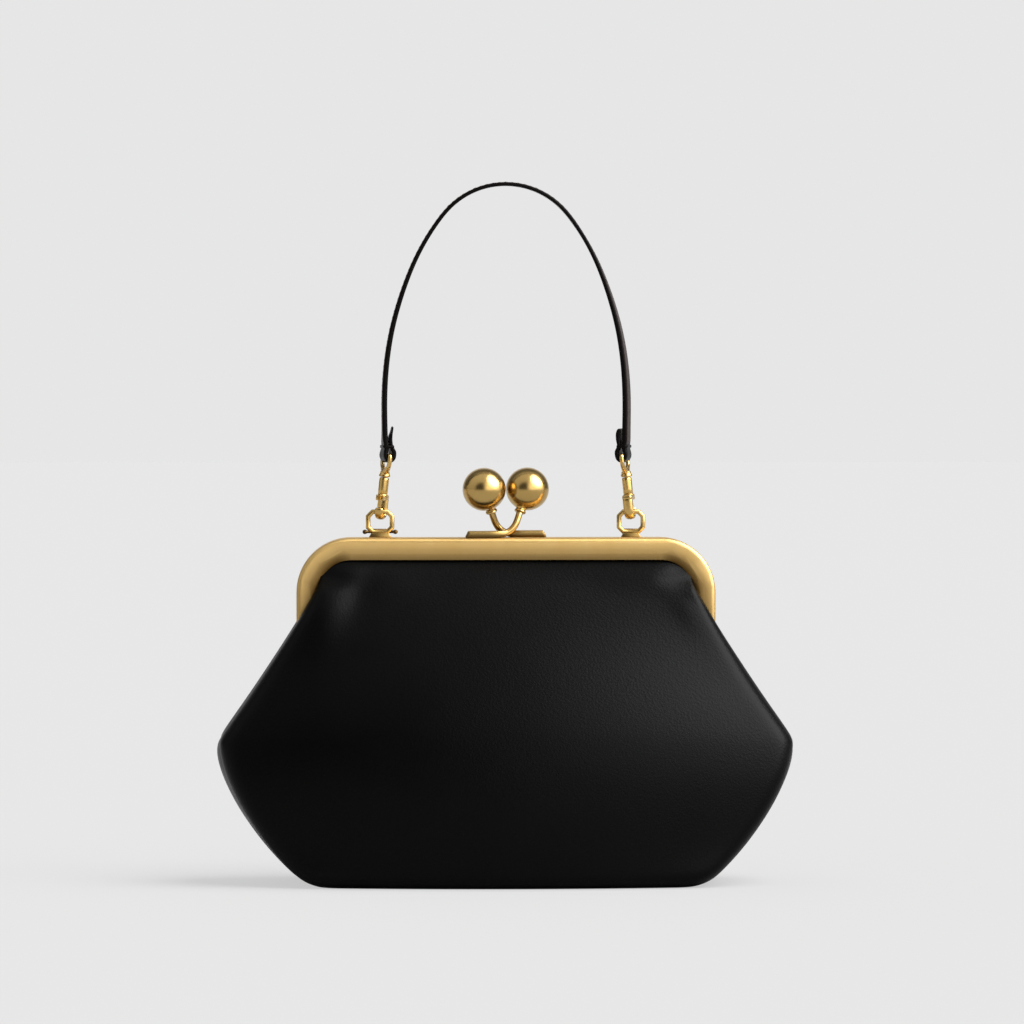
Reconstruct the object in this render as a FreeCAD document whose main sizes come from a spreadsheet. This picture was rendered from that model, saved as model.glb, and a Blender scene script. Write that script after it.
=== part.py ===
import FreeCAD, Part
import math
import os
import re
import Sketcher

# Frame purse: a leather bag on two brass frame halves that swing on rivets, shut by two balls
# that snap past each other, with a leather strap on two swivel hooks.
# X runs along the frame, -Y is the front, Z is up, and the origin is under the middle of the base.

sizes = {
    # general
    "overrun": 1.0,
    "soft_gap": 0.3,
    "running_gap": 0.05,
    # leather bag
    "leather": 1.8,
    "base_length": 152.0,
    "base_depth": 68.0,
    "base_corner_depth": 58.0,
    "belly_height": 57.0,
    "belly_width": 229.0,
    "belly_depth": 82.0,
    "belly_corner_depth": 44.0,
    "shoulder_drop": 13.0,
    "shoulder_inset": 7.9,
    "shoulder_depth": 32.4,
    "shoulder_corner_depth": 19.6,
    "panel_drop": 1.0,
    "flap_lap": 0.6,
    "mouth_flare": 4.0,
    "tuck_height": 6.0,
    "gusset_bulge": 1.2,
    "gusset_drop": 14.0,
    "gusset_fold_angle": 36.0,
    "lining": 0.8,
    "lining_drop": 3.0,
    "board": 1.6,
    "board_inset": 1.5,
    # brass frame
    "frame_width": 168.0,
    "frame_rise": 44.8,
    "frame_band": 8.8,
    "frame_corner": 22.0,
    "half_depth": 6.5,
    "half_gap": 0.4,
    "channel_wall": 1.0,
    "edge_round": 1.6,
    "hinge_rise": 37.0,
    "ear_radius": 4.2,
    "ear_gap": 0.1,
    "ear_reach": 7.0,
    "leg_gap": 0.6,
    "rivet_radius": 1.5,
    "rivet_head_radius": 2.6,
    "rivet_head_height": 0.8,
    # kiss clasp
    "ball_radius": 8.6,
    "ball_gap": 0.3,
    "ball_rise": 19.4,
    "ball_lean": 2.6,
    "collar_radius": 2.4,
    "collar_height": 1.9,
    "arm_radius": 1.35,
    "arm_bend": 4.6,
    "arm_root": 8.0,
    "plate_outer": 16.6,
    "plate_inner": 1.0,
    "plate_width": 5.0,
    "plate_height": 2.8,
    "plate_slant": 1.4,
    # rings and their lugs
    "ring_spacing": 100.8,
    "ring_width": 11.5,
    "ring_wire": 1.9,
    "ring_rise": 8.1,
    "ring_corner": 2.4,
    "ring_chamfer": 0.5,
    "lug_width": 3.4,
    "lug_base_width": 7.6,
    "lug_base_depth": 5.2,
    "lug_base_height": 0.9,
    "lug_wall": 0.9,
    # swivel hooks
    "hook_twist_angle": -15.0,
    "hook_thickness": 2.4,
    "hook_wire": 1.6,
    "hook_slot": 4.4,
    "hook_play": 0.65,
    "hook_throat": 4.6,
    "hook_tip": 1.6,
    "hook_block": 2.8,
    "barrel_radius": 2.1,
    "barrel_sink": 1.6,
    "barrel_length": 8.0,
    "barrel_wall": 0.45,
    "barrel_lip": 1.9,
    "post_radius": 1.0,
    "post_head": 1.4,
    "eye_collar_radius": 2.3,
    "eye_collar_height": 2.8,
    "eye_stem": 2.24,
    "eye_wire": 1.5,
    "eye_neck": 2.4,
    "gate_width": 1.6,
    "gate_thickness": 1.3,
    "gate_gap": 0.1,
    "gate_rest": 0.15,
    "gate_eye_radius": 1.2,
    "gate_thumb": 1.5,
    "pin_radius": 0.45,
    "pin_lift": 1.0,
    "spring_strip": 0.3,
    # strap
    "strap_width": 9.0,
    "strap_thickness": 2.2,
    "strap_straight": 15.8,
    "strap_tail": 11.0,
    "tail_thickness": 1.2,
    "loop_gap": 0.1,
    "crown_radius": 31.8,
    "shoulder_radius": 95.0,
    "side_radius": 155.0,
    "crown_angle": 52.0,
    "shoulder_angle": 68.0,
    "keeper_wall": 0.7,
    "keeper_height": 1.8,
    "keeper_gap": 0.1,
    "keeper_lift": 3.2,
}

# Exponent of the bag's depth above the belly: 1 would be a straight slope, 2 a full parabola
rise_power = 1.5

# Places that follow from the driving dimensions
derived = {
    "hinge_height": "belly_height + hinge_rise",
    "frame_height": "hinge_height + frame_rise",
    "mouth_height": "frame_height - frame_band",
    "shoulder_height": "mouth_height - shoulder_drop",
    "shoulder_width": "frame_width - 2*shoulder_inset",
    "tuck_width": "frame_width - 2*frame_corner",
    "mouth_width": "tuck_width + 2*mouth_flare",
    "panel_top": "hinge_height - panel_drop",
    "gusset_top": "hinge_height - gusset_drop",
    "gusset_middle": "(belly_height + gusset_top)/2",
    "flap_middle": "(panel_top + shoulder_height)/2",
    "gusset_taper": "(gusset_top - belly_height)/(shoulder_height - belly_height)",
    "gusset_top_depth": "belly_corner_depth + "
                        f"(shoulder_corner_depth - belly_corner_depth)*gusset_taper^{rise_power}",
    "gusset_fold": "gusset_top_depth/2*tan(gusset_fold_angle/2)",
    "middle_bow": "(gusset_bulge - gusset_fold)/2",
    "leather_stack": "leather + soft_gap/2 + lining",
    "half_centre": "half_gap/2 + half_depth/2",
    "leg_end": "hinge_height + ear_radius + leg_gap",
    "frame_half": "frame_width/2",
    # the arm's rod, in a plane tilted towards the other half
    "plate_level": "frame_height + plate_height/2",
    "ball_x": "ball_radius + ball_gap/2",
    "ball_z": "frame_height + ball_rise",
    "ball_flat": "sqrt(ball_radius^2 - collar_radius^2)",
    "arm_tilt": "atan((ball_lean + half_centre)/(ball_z - plate_level))",
    "arm_up": "sqrt((ball_z - plate_level)^2 + (ball_lean + half_centre)^2)",
    "arm_span": "sqrt((ball_x - plate_inner)^2 + (arm_up - arm_bend)^2)",
    "arm_straight": "sqrt(arm_span^2 - arm_bend^2)",
    "arm_heading": "atan((arm_up - arm_bend)/(ball_x - plate_inner)) + atan(arm_bend/arm_straight)",
    "arm_rod": "arm_straight - ball_flat - collar_height",
    "ring_x": "ring_spacing/2",
    "lug_bore": "ring_wire/2 + soft_gap",
    "bar_height": "frame_height + lug_base_height + lug_bore",
    "ring_top": "bar_height + ring_rise",
    # the hook, measured from the ring's upper bar
    "hook_bend": "hook_slot/2",
    "hook_outer": "hook_slot/2 + hook_wire",
    "bend_height": "hook_slot/2 - ring_wire/2 - hook_play",
    "pin_across": "hook_slot/2 + hook_wire/4",
    "pin_height": "hook_throat + pin_lift",
    "barrel_foot": "hook_throat + hook_block - barrel_sink",
    "barrel_top": "barrel_foot + barrel_length",
    "collar_foot": "barrel_top + soft_gap",
    "eye_foot": "collar_foot + eye_collar_height",
    "eye_sill": "eye_foot + eye_stem",
    "hook_reach": "eye_sill + soft_gap + loop_outer",
    "loop_bore": "eye_wire*sqrt(2)/2 + loop_gap",
    "loop_outer": "loop_bore + strap_thickness",
    "loop_middle": "loop_bore + strap_thickness/2",
    # the strap's arch
    "leg_x": "crown_radius*sin(crown_angle) + shoulder_radius*(sin(shoulder_angle) - sin(crown_angle))"
             " + side_radius*(1 - sin(shoulder_angle))",
    "loop_x": "leg_x - loop_middle",
    "hook_lean": "asin((ring_x - loop_x)/hook_reach)",
    "loop_z": "ring_top + hook_reach*cos(hook_lean)",
    "leg_top": "loop_z + strap_straight",
    "flank_level": "leg_top + (side_radius - shoulder_radius)*cos(shoulder_angle)",
    "flank_x": "leg_x - side_radius + (side_radius - shoulder_radius)*sin(shoulder_angle)",
    "crown_level": "flank_level + (shoulder_radius - crown_radius)*cos(crown_angle)",
    "tail_face": "leg_x - strap_thickness/2 - loop_gap",
    "keeper_foot": "loop_z + keeper_lift",
}

level_shares = [0.0, 0.1, 0.25, 0.45, 0.7, 1.0]

doc = FreeCAD.newDocument("frame_purse")
sheet = doc.addObject("Spreadsheet::Sheet", "sizes")
for row, (name, size) in enumerate(sizes.items(), start=1):
    sheet.set(f"A{row}", name)
    sheet.set(f"B{row}", str(size))
    sheet.setAlias(f"B{row}", name)
doc.recompute()

nodes = {}


def bound(text):
    # a formula in named sizes, written out in the sheet's cells
    def cell(match):
        word = match.group(0)
        if word in derived:
            return f"({bound(derived[word])})"
        return f"sizes.{word}" if word in sizes else word
    return re.sub(r"[a-z_]+", cell, str(text))


def value(text):
    result = sheet.evalExpression(bound(text))
    return float(getattr(result, "Value", result))


def bind(item, prop, text):
    item.setExpression(prop, bound(text))


def new_body(label):
    body = doc.addObject("PartDesign::Body", label)
    body.Label = label
    nodes[label] = body
    return body


def origin_plane(body, role):
    return next(item for item in body.Origin.OriginFeatures if item.Role == role)


def new_sketch(body, role, offset="0"):
    sketch = body.newObject("Sketcher::SketchObject", f"{body.Name}_sketch")
    sketch.AttachmentSupport = [(origin_plane(body, role), "")]
    sketch.MapMode = "FlatFace"
    bind(sketch, "AttachmentOffset.Base.z", offset)
    return sketch


def arc_between(here, there, bulge):
    # an arc whose middle stands off its chord by bulge, to the right of the way from here to there
    along = there - here
    aside = FreeCAD.Vector(along.y, -along.x, 0).normalize()
    radius = along.Length ** 2 / (8 * abs(bulge)) + abs(bulge) / 2
    middle = (here + there) / 2 + aside * (bulge - math.copysign(radius, bulge))
    first, last = (here, there) if bulge > 0 else (there, here)
    angles = [math.atan2(p.y - middle.y, p.x - middle.x) for p in (first, last)]
    circle = Part.Circle(middle, FreeCAD.Vector(0, 0, 1), radius)
    return Part.ArcOfCircle(circle, *angles)


def trace(sketch, corners, closed=True):
    # an outline or an open path: each corner is (across, up) before a straight edge,
    # or (across, up, bulge) before an arc
    places = [FreeCAD.Vector(value(c[0]), value(c[1]), 0) for c in corners]
    ends = []
    for n, corner in enumerate(corners if closed else corners[:-1]):
        after = (n + 1) % len(corners)
        if len(corner) == 2:
            edge = sketch.addGeometry(Part.LineSegment(places[n], places[after]))
            ends.append((edge, 1, 2))
            continue
        bulge = value(corner[2])
        edge = sketch.addGeometry(arc_between(places[n], places[after], bulge))
        ends.append((edge, 1, 2) if bulge > 0 else (edge, 2, 1))
        (x0, y0), (x1, y1) = corner[:2], corners[after][:2]
        chord = f"(({x1}) - ({x0}))^2 + (({y1}) - ({y0}))^2"
        rule = f"({chord})/(8*abs({corner[2]})) + abs({corner[2]})/2"
        mark = sketch.addConstraint(Sketcher.Constraint("Radius", edge, value(rule)))
        bind(sketch, f"Constraints[{mark}]", rule)
    for (edge, _, end), (follower, begin, _) in zip(ends, ends[1:] + (ends[:1] if closed else [])):
        sketch.addConstraint(Sketcher.Constraint("Coincident", edge, end, follower, begin))
    pins = [(edge, start) for edge, start, _ in ends]
    if not closed:
        pins.append((ends[-1][0], ends[-1][2]))
    for (edge, point), corner in zip(pins, corners):
        for kind, text in (("DistanceX", corner[0]), ("DistanceY", corner[1])):
            mark = sketch.addConstraint(Sketcher.Constraint(kind, -1, 1, edge, point, value(text)))
            bind(sketch, f"Constraints[{mark}]", text)
    return sketch


def ring_of(sketch, across, up, radius):
    # a full circle about a named place
    where = FreeCAD.Vector(value(across), value(up), 0)
    edge = sketch.addGeometry(Part.Circle(where, FreeCAD.Vector(0, 0, 1), value(radius)))
    for kind, text in (("DistanceX", across), ("DistanceY", up)):
        mark = sketch.addConstraint(Sketcher.Constraint(kind, -1, 1, edge, 3, value(text)))
        bind(sketch, f"Constraints[{mark}]", text)
    mark = sketch.addConstraint(Sketcher.Constraint("Radius", edge, value(radius)))
    bind(sketch, f"Constraints[{mark}]", radius)
    return sketch


def pad(body, sketch, length, midplane=False, reverse=False):
    feature = body.newObject("PartDesign::Pad", f"{body.Name}_pad")
    feature.Profile = sketch
    bind(feature, "Length", length)
    feature.Midplane = midplane
    feature.Reversed = reverse
    doc.recompute()
    return feature


def pocket(body, sketch, length, midplane=False, reverse=False):
    before = body.Shape.Volume
    feature = body.newObject("PartDesign::Pocket", f"{body.Name}_pocket")
    feature.Profile = sketch
    bind(feature, "Length", length)
    feature.Midplane = midplane
    feature.Reversed = reverse
    doc.recompute()
    if not body.Shape.Volume < before:
        raise RuntimeError(f"{body.Label}: a pocket cut nothing")
    return feature


def turned(body, sketch, kind="PartDesign::Revolution"):
    feature = body.newObject(kind, f"{body.Name}_turned")
    feature.Profile = sketch
    feature.ReferenceAxis = (sketch, ["V_Axis"])
    feature.Angle = 360
    doc.recompute()
    return feature


def loft(body, sections, kind="PartDesign::AdditiveLoft"):
    feature = body.newObject(kind, f"{body.Name}_loft")
    feature.Profile = sections[0]
    feature.Sections = sections[1:]
    feature.Ruled = True
    doc.recompute()
    return feature


def dress(body, base, kind, prop, size, wanted):
    # rounds or bevels the edges of a feature that wanted() picks out
    names = [f"Edge{n}" for n, edge in enumerate(base.Shape.Edges, start=1) if wanted(edge)]
    feature = body.newObject(kind, f"{body.Name}_dress")
    feature.Base = (base, names)
    bind(feature, prop, size)
    doc.recompute()
    return feature


def about_z(body, angle):
    body.Placement = FreeCAD.Placement(body.Placement.Base,
                                       FreeCAD.Rotation(FreeCAD.Vector(0, 0, 1), angle))


def quarter(radius):
    # how far a quarter circle stands off its chord
    return f"({radius})*(1 - cos(45))"


# Cross-sections of the bag: half width, half depth at the corner, half depth at the middle
def swell(base, belly, height):
    # a size that grows from the base to the belly along a parabola
    return f"(({base}) + (({belly}) - ({base}))*(1 - (1 - ({height})/belly_height)^2))/2"


def rise(name, height):
    # a size that shrinks from the belly to the shoulder: evenly across, in depth slowly at first
    belly, shoulder = f"belly_{name}", f"shoulder_{name}"
    share = f"((({height}) - belly_height)/(shoulder_height - belly_height))"
    power = 1 if name == "width" else rise_power
    return f"({belly} + ({shoulder} - {belly})*{share}^{power})/2"


def section_at(height, above):
    names = ("width", "corner_depth", "depth")
    if above:
        return [rise(name, height) for name in names]
    return [swell("base_length" if name == "width" else f"base_{name}", f"belly_{name}", height)
            for name in names]


def wall_strip(sketch, half, corner, middle, inset, thickness):
    # a bowed strip across the front, mitred at its ends
    outer, inner = inset, f"({inset}) + ({thickness})"
    bow = f"({middle}) - ({corner})"
    return trace(sketch, [
        (f"-(({half}) - ({outer}))", f"-(({corner}) - ({outer}))", bow),
        (f"({half}) - ({outer})", f"-(({corner}) - ({outer}))"),
        (f"({half}) - ({inner})", f"-(({corner}) - ({inner}))", f"-({bow})"),
        (f"-(({half}) - ({inner}))", f"-(({corner}) - ({inner}))"),
    ])


def side_strip(sketch, half, corner, bow, inset, thickness):
    # the same for the right-hand end of the bag
    outer, inner = inset, f"({inset}) + ({thickness})"
    return trace(sketch, [
        (f"({half}) - ({outer})", f"-(({corner}) - ({outer}))", bow),
        (f"({half}) - ({outer})", f"({corner}) - ({outer})"),
        (f"({half}) - ({inner})", f"({corner}) - ({inner})", f"-({bow})"),
        (f"({half}) - ({inner})", f"-(({corner}) - ({inner}))"),
    ])


def girth(sketch, half, corner, middle, bow, inset):
    # the whole way round the bag
    bulge = f"({middle}) - ({corner})"
    x, y = f"(({half}) - ({inset}))", f"(({corner}) - ({inset}))"
    return trace(sketch, [
        (f"-{x}", f"-{y}", bulge),
        (x, f"-{y}", bow),
        (x, y, bulge),
        (f"-{x}", y, bow),
    ])


def pot_levels():
    # heights of the lower bag's cross-sections, the last one at the belly
    return [f"belly_height*{share}" for share in level_shares]


def lower_panel(label, turn):
    body = new_body(label)
    levels = [(height, section_at(height, False)) for height in pot_levels()]
    above = ("gusset_middle", "gusset_top", "panel_top")
    levels += [(height, section_at(height, True)) for height in above]
    sections = [wall_strip(new_sketch(body, "XY_Plane", height), *spans, "0", "leather")
                for height, spans in levels]
    loft(body, sections)
    about_z(body, turn)


def gusset(label, turn):
    body = new_body(label)
    sections = []
    for height in pot_levels():
        half, corner, _ = section_at(height, False)
        sections.append(side_strip(new_sketch(body, "XY_Plane", height), half, corner,
                                   "gusset_bulge", "0", "leather"))
    for height, bow in (("gusset_middle", "middle_bow"), ("gusset_top", "-gusset_fold")):
        half, corner, _ = section_at(height, True)
        sections.append(side_strip(new_sketch(body, "XY_Plane", height), half, corner, bow, "0", "leather"))
    loft(body, sections)
    about_z(body, turn)


def flat_base(label, foot, thickness, inset):
    body = new_body(label)
    half, corner, middle = section_at("0", False)
    sketch = girth(new_sketch(body, "XY_Plane", foot), half, corner, middle, "gusset_bulge", inset)
    pad(body, sketch, thickness)


def body_lining():
    body = new_body("body_lining")
    foot = "leather + soft_gap/2 + board + soft_gap/2"
    gap = "leather + soft_gap"
    for kind, lift, inset in (("PartDesign::AdditiveLoft", "0", gap),
                              ("PartDesign::SubtractiveLoft", "lining", f"{gap} + lining")):
        heights = [f"{foot} + {lift}"] + pot_levels()[2:]
        levels = [(height, section_at(height, False), "gusset_bulge") for height in heights]
        top = "gusset_top - lining_drop"
        levels.append(("gusset_middle", section_at("gusset_middle", True), "middle_bow"))
        levels.append((top, section_at(top, True), "-gusset_fold"))
        sections = [girth(new_sketch(body, "XY_Plane", height), *spans, bow, inset)
                    for height, spans, bow in levels]
        loft(body, sections, kind)


def flap(label, turn, inset, thickness):
    # upper part of a leather face or its lining, from the channel down to a lap inside the panel
    body = new_body(label)
    foot = "panel_top - flap_lap"
    half, corner, middle = section_at(foot, True)
    lap = f"({inset}) + leather + soft_gap + soft_gap"
    sections = [wall_strip(new_sketch(body, "XY_Plane", foot), half, corner, middle, lap, thickness)]
    for height in ("flap_middle", "shoulder_height"):
        spans = section_at(height, True)
        sections.append(wall_strip(new_sketch(body, "XY_Plane", height), *spans, inset, thickness))
    face = f"half_centre + leather_stack/2 - ({inset})"
    for height, width in (("mouth_height", "mouth_width"), ("mouth_height + tuck_height", "tuck_width")):
        out, back = f"-({face})", f"-({face}) + ({thickness})"
        sections.append(trace(new_sketch(body, "XY_Plane", height), [
            (f"-({width})/2", out), (f"({width})/2", out),
            (f"({width})/2", back), (f"-({width})/2", back)]))
    loft(body, sections)
    about_z(body, turn)


def band(outset, inset, foot):
    # an upside-down U: the frame's outer line moved in by outset, its inner line by inset
    side, top = f"frame_half - ({outset})", f"frame_height - ({outset})"
    corner, bend = "frame_half - frame_corner", "frame_height - frame_corner"
    inner, under = f"frame_half - frame_band + ({inset})", f"frame_height - frame_band + ({inset})"
    out, back = quarter(f"frame_corner - ({outset})"), quarter(f"frame_corner - frame_band + ({inset})")
    return [
        (side, foot), (side, bend, out), (corner, top), (f"-({corner})", top, out),
        (f"-({side})", bend), (f"-({side})", foot), (f"-({inner})", foot),
        (f"-({inner})", bend, f"-({back})"), (f"-({corner})", under), (corner, under, f"-({back})"),
        (inner, bend), (inner, foot),
    ]


def frame_half(label, turn, outer_ear):
    body = new_body(label)
    shell = pad(body, trace(new_sketch(body, "XZ_Plane", "half_gap/2"), band("0", "0", "leg_end")),
                "half_depth")
    front = -value("half_gap/2 + half_depth")
    corner_x, corner_z = value("frame_half - frame_corner"), value("frame_height - frame_corner")

    def outer_front_edge(edge):
        box = edge.BoundBox
        if abs(box.YMin - front) > 1e-6 or abs(box.YMax - front) > 1e-6:
            return False
        middle = edge.valueAt((edge.FirstParameter + edge.LastParameter) / 2)
        reach = math.hypot(max(abs(middle.x) - corner_x, 0), max(middle.z - corner_z, 0))
        return abs(reach - value("frame_corner")) < 1e-3

    dress(body, shell, "PartDesign::Fillet", "Radius", "edge_round", outer_front_edge)
    slot = trace(new_sketch(body, "XZ_Plane", "half_gap/2 + channel_wall"),
                 band("channel_wall", "-overrun", "leg_end - overrun"))
    pocket(body, slot, "half_depth - 2*channel_wall", reverse=True)
    # an ear below each leg, in the outer or the inner of the two layers that the rivet joins
    layer = "frame_half - channel_wall + ear_gap" if outer_ear else "frame_half - 2*channel_wall"
    thick = "channel_wall - ear_gap" if outer_ear else "channel_wall"
    foot = "leg_end" if outer_ear else "leg_end + ear_reach"
    near = "half_gap/2 + channel_wall"
    far = "half_gap/2 + half_depth - channel_wall"
    for side in (1, -1):
        start = layer if side > 0 else f"-({layer}) - ({thick})"
        sketch = trace(new_sketch(body, "YZ_Plane", start), [
            ("0", "hinge_height + ear_radius", quarter("ear_radius")),
            ("-ear_radius", "hinge_height"),
            (f"-({far})", "leg_end"),
            (f"-({far})", f"{foot} + overrun"),
            (f"-({near})", f"{foot} + overrun"),
            (f"-({near})", "hinge_height + ear_radius"),
        ])
        pad(body, sketch, thick)
        disc = ring_of(new_sketch(body, "YZ_Plane", start), "0", "hinge_height", "ear_radius")
        pad(body, disc, thick)
    bore = ring_of(new_sketch(body, "YZ_Plane"), "0", "hinge_height", "rivet_radius + running_gap")
    pocket(body, bore, "frame_width + overrun", midplane=True)
    about_z(body, turn)


def hinge_rivet(label, turn):
    # a shank through both ears with a low head at each end, about the hinge line
    body = new_body(label)
    inner = "frame_half - 2*channel_wall - running_gap"
    outer = "frame_half + running_gap"
    shank = ring_of(new_sketch(body, "YZ_Plane", inner), "0", "hinge_height", "rivet_radius")
    pad(body, shank, f"{outer} - ({inner})")
    for start in (outer, f"{inner} - rivet_head_height"):
        head = ring_of(new_sketch(body, "YZ_Plane", start), "0", "hinge_height", "rivet_head_radius")
        pad(body, head, "rivet_head_height")
    about_z(body, turn)


def clasp_arm(label, turn):
    # a plate on the frame and, out of its end, a rod that bends up to the ball's collar
    body = new_body(label)
    top = "frame_height + plate_height"
    plate = trace(new_sketch(body, "XZ_Plane", "half_centre - plate_width/2"), [
        ("-plate_outer", "frame_height"), ("plate_inner", "frame_height"),
        ("plate_inner", top), ("-plate_outer + plate_slant", top)])
    pad(body, plate, "plate_width")
    knee = ("plate_inner + arm_bend*sin(arm_heading)", "arm_bend*(1 - cos(arm_heading))")
    tip = (f"{knee[0]} + arm_rod*cos(arm_heading)", f"{knee[1]} + arm_rod*sin(arm_heading)")
    path = new_sketch(body, "XZ_Plane", "half_centre")
    tilt = FreeCAD.Rotation(FreeCAD.Vector(-1, 0, 0), value("arm_tilt"))
    path.AttachmentOffset = FreeCAD.Placement(FreeCAD.Vector(), tilt)
    bind(path, "AttachmentOffset.Base.y", "plate_level")
    bind(path, "AttachmentOffset.Rotation.Angle", "arm_tilt")
    trace(path, [("-arm_root", "0"), ("plate_inner", "0", "arm_bend*(1 - cos(arm_heading/2))"), knee, tip],
          closed=False)
    wire = ring_of(new_sketch(body, "YZ_Plane", "-arm_root"), "-half_centre", "plate_level", "arm_radius")
    pipe = body.newObject("PartDesign::AdditivePipe", f"{label}_pipe")
    pipe.Profile = wire
    pipe.Spine = (path, ["Edge1", "Edge2", "Edge3"])
    doc.recompute()
    about_z(body, turn)


def clasp_ball(label, turn):
    # a ball with a collar turned on its foot, in line with the arm's rod
    body = new_body(label)
    waist = "sqrt((collar_radius^2 + (ball_radius + ball_flat)^2)/4)"
    outline = trace(new_sketch(body, "XZ_Plane"), [
        ("0", "-ball_flat - collar_height"),
        ("collar_radius", "-ball_flat - collar_height"),
        ("collar_radius", "-ball_flat", f"ball_radius - sqrt(ball_radius^2 - ({waist})^2)"),
        ("0", "ball_radius"),
    ])
    turned(body, outline)
    lie = FreeCAD.Rotation(FreeCAD.Vector(-1, 0, 0), value("arm_tilt"))
    lean = FreeCAD.Rotation(FreeCAD.Vector(0, 1, 0), 90 - value("arm_heading"))
    around = FreeCAD.Rotation(FreeCAD.Vector(0, 0, 1), turn)
    place = FreeCAD.Vector(value("ball_x"), value("ball_lean"), value("ball_z"))
    body.Placement = FreeCAD.Placement(around.multVec(place), around * lie * lean)


def ring_lug(label, side):
    # a folded strip: a foot on the frame and an eye for the ring's lower bar
    body = new_body(label)
    eye, base = "lug_bore + lug_wall", "lug_base_height"
    middle = f"{base} + lug_bore"
    profile = trace(new_sketch(body, "YZ_Plane"), [
        (f"-({eye})", "0"), (eye, "0"),
        (eye, middle, quarter(eye)), ("0", f"{middle} + {eye}", quarter(eye)), (f"-({eye})", middle)])
    pad(body, profile, "lug_width", midplane=True)
    foot = trace(new_sketch(body, "YZ_Plane"), [
        ("-lug_base_depth/2", "0"), ("lug_base_depth/2", "0"),
        ("lug_base_depth/2", "lug_base_height"), ("-lug_base_depth/2", "lug_base_height")])
    pad(body, foot, "lug_base_width", midplane=True)
    bore = ring_of(new_sketch(body, "YZ_Plane"), "0", middle, "lug_bore")
    pocket(body, bore, "lug_base_width + overrun", midplane=True)
    bind(body, "Placement.Base.x", f"{side}*ring_x")
    bind(body, "Placement.Base.y", "half_centre")
    bind(body, "Placement.Base.z", "frame_height")


def octagon(half, low, high, cut):
    return [
        (f"({half}) - ({cut})", low), (half, f"({low}) + ({cut})"),
        (half, f"({high}) - ({cut})"), (f"({half}) - ({cut})", high),
        (f"-(({half}) - ({cut}))", high), (f"-({half})", f"({high}) - ({cut})"),
        (f"-({half})", f"({low}) + ({cut})"), (f"-(({half}) - ({cut}))", low),
    ]


def flat_edges(thickness):
    # edges that lie in the front or the back face of a flat piece about the plane y = 0
    level = value(thickness) / 2

    def wanted(edge):
        box = edge.BoundBox
        return abs(abs(box.YMin) - level) < 1e-6 and abs(box.YMax - box.YMin) < 1e-6
    return wanted


def ring(label, side):
    body = new_body(label)
    wire, half = "ring_wire", "ring_width/2"
    cut = f"ring_corner - {wire}*(2 - sqrt(2))"
    sketch = new_sketch(body, "XZ_Plane")
    trace(sketch, octagon(half, f"-{wire}/2", f"ring_rise + {wire}/2", "ring_corner"))
    trace(sketch, octagon(f"{half} - {wire}", f"{wire}/2", f"ring_rise - {wire}/2", cut))
    block = pad(body, sketch, wire, midplane=True)
    dress(body, block, "PartDesign::Chamfer", "Size", "ring_chamfer", flat_edges(wire))
    bind(body, "Placement.Base.x", f"{side}*ring_x")
    bind(body, "Placement.Base.y", "half_centre")
    bind(body, "Placement.Base.z", "bar_height")


def hang(body, side, twist="0"):
    # hook pieces are drawn about the ring's upper bar, lean in towards the strap and turn on their post
    lean = FreeCAD.Rotation(FreeCAD.Vector(0, 1, 0), -value("hook_lean"))
    spin = FreeCAD.Rotation(FreeCAD.Vector(0, 0, 1), value(twist))
    around = FreeCAD.Rotation(FreeCAD.Vector(0, 0, 1), 0 if side > 0 else 180)
    place = FreeCAD.Vector(side * value("ring_x"), value("half_centre"), value("ring_top"))
    body.Placement = FreeCAD.Placement(place, around * lean * spin)


def hook_body(label, side):
    body = new_body(label)
    inner, outer, bend = "hook_bend", "hook_outer", "bend_height"
    top = "hook_throat + hook_block"
    outline = trace(new_sketch(body, "YZ_Plane"), [
        (inner, "hook_tip"), (inner, bend, f"-({quarter(inner)})"),
        ("0", f"{bend} - {inner}", f"-({quarter(inner)})"), (f"-{inner}", bend),
        (f"-{inner}", "hook_throat"), (outer, "hook_throat"),
        (outer, f"{top} - hook_wire"), ("barrel_radius", top), ("-barrel_radius", top),
        (f"-{outer}", f"{top} - hook_wire"), (f"-{outer}", bend, quarter(outer)),
        ("0", f"{bend} - ({outer})", quarter(outer)), (outer, bend), (outer, "hook_tip"),
    ])
    pad(body, outline, "hook_thickness", midplane=True)
    barrel = ring_of(new_sketch(body, "XY_Plane", "barrel_foot"), "0", "0", "barrel_radius")
    pad(body, barrel, "barrel_length")
    # stepped bore that holds the swivel post by its head
    cavity = "barrel_radius - barrel_wall"
    step, floor = "barrel_top - barrel_lip", "barrel_top - barrel_length/2 - barrel_lip"
    bore = "post_radius + running_gap"
    hollow = trace(new_sketch(body, "XZ_Plane"), [
        ("0", floor), (cavity, floor), (cavity, step), (bore, step),
        (bore, "barrel_top + overrun"), ("0", "barrel_top + overrun")])
    turned(body, hollow, "PartDesign::Groove")
    # slot for the gate and the holes of its pin
    slot = trace(new_sketch(body, "YZ_Plane"), [
        ("pin_across - gate_eye_radius - soft_gap", "hook_throat - overrun"),
        (f"{outer} + overrun", "hook_throat - overrun"),
        (f"{outer} + overrun", f"{top} + overrun"),
        ("pin_across - gate_eye_radius - soft_gap", f"{top} - hook_wire/2")])
    pocket(body, slot, "gate_thickness + 2*gate_gap", midplane=True)
    hole = ring_of(new_sketch(body, "YZ_Plane"), "pin_across", "pin_height", "pin_radius")
    pocket(body, hole, "hook_thickness + overrun", midplane=True)
    hang(body, side, "hook_twist_angle")


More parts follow.
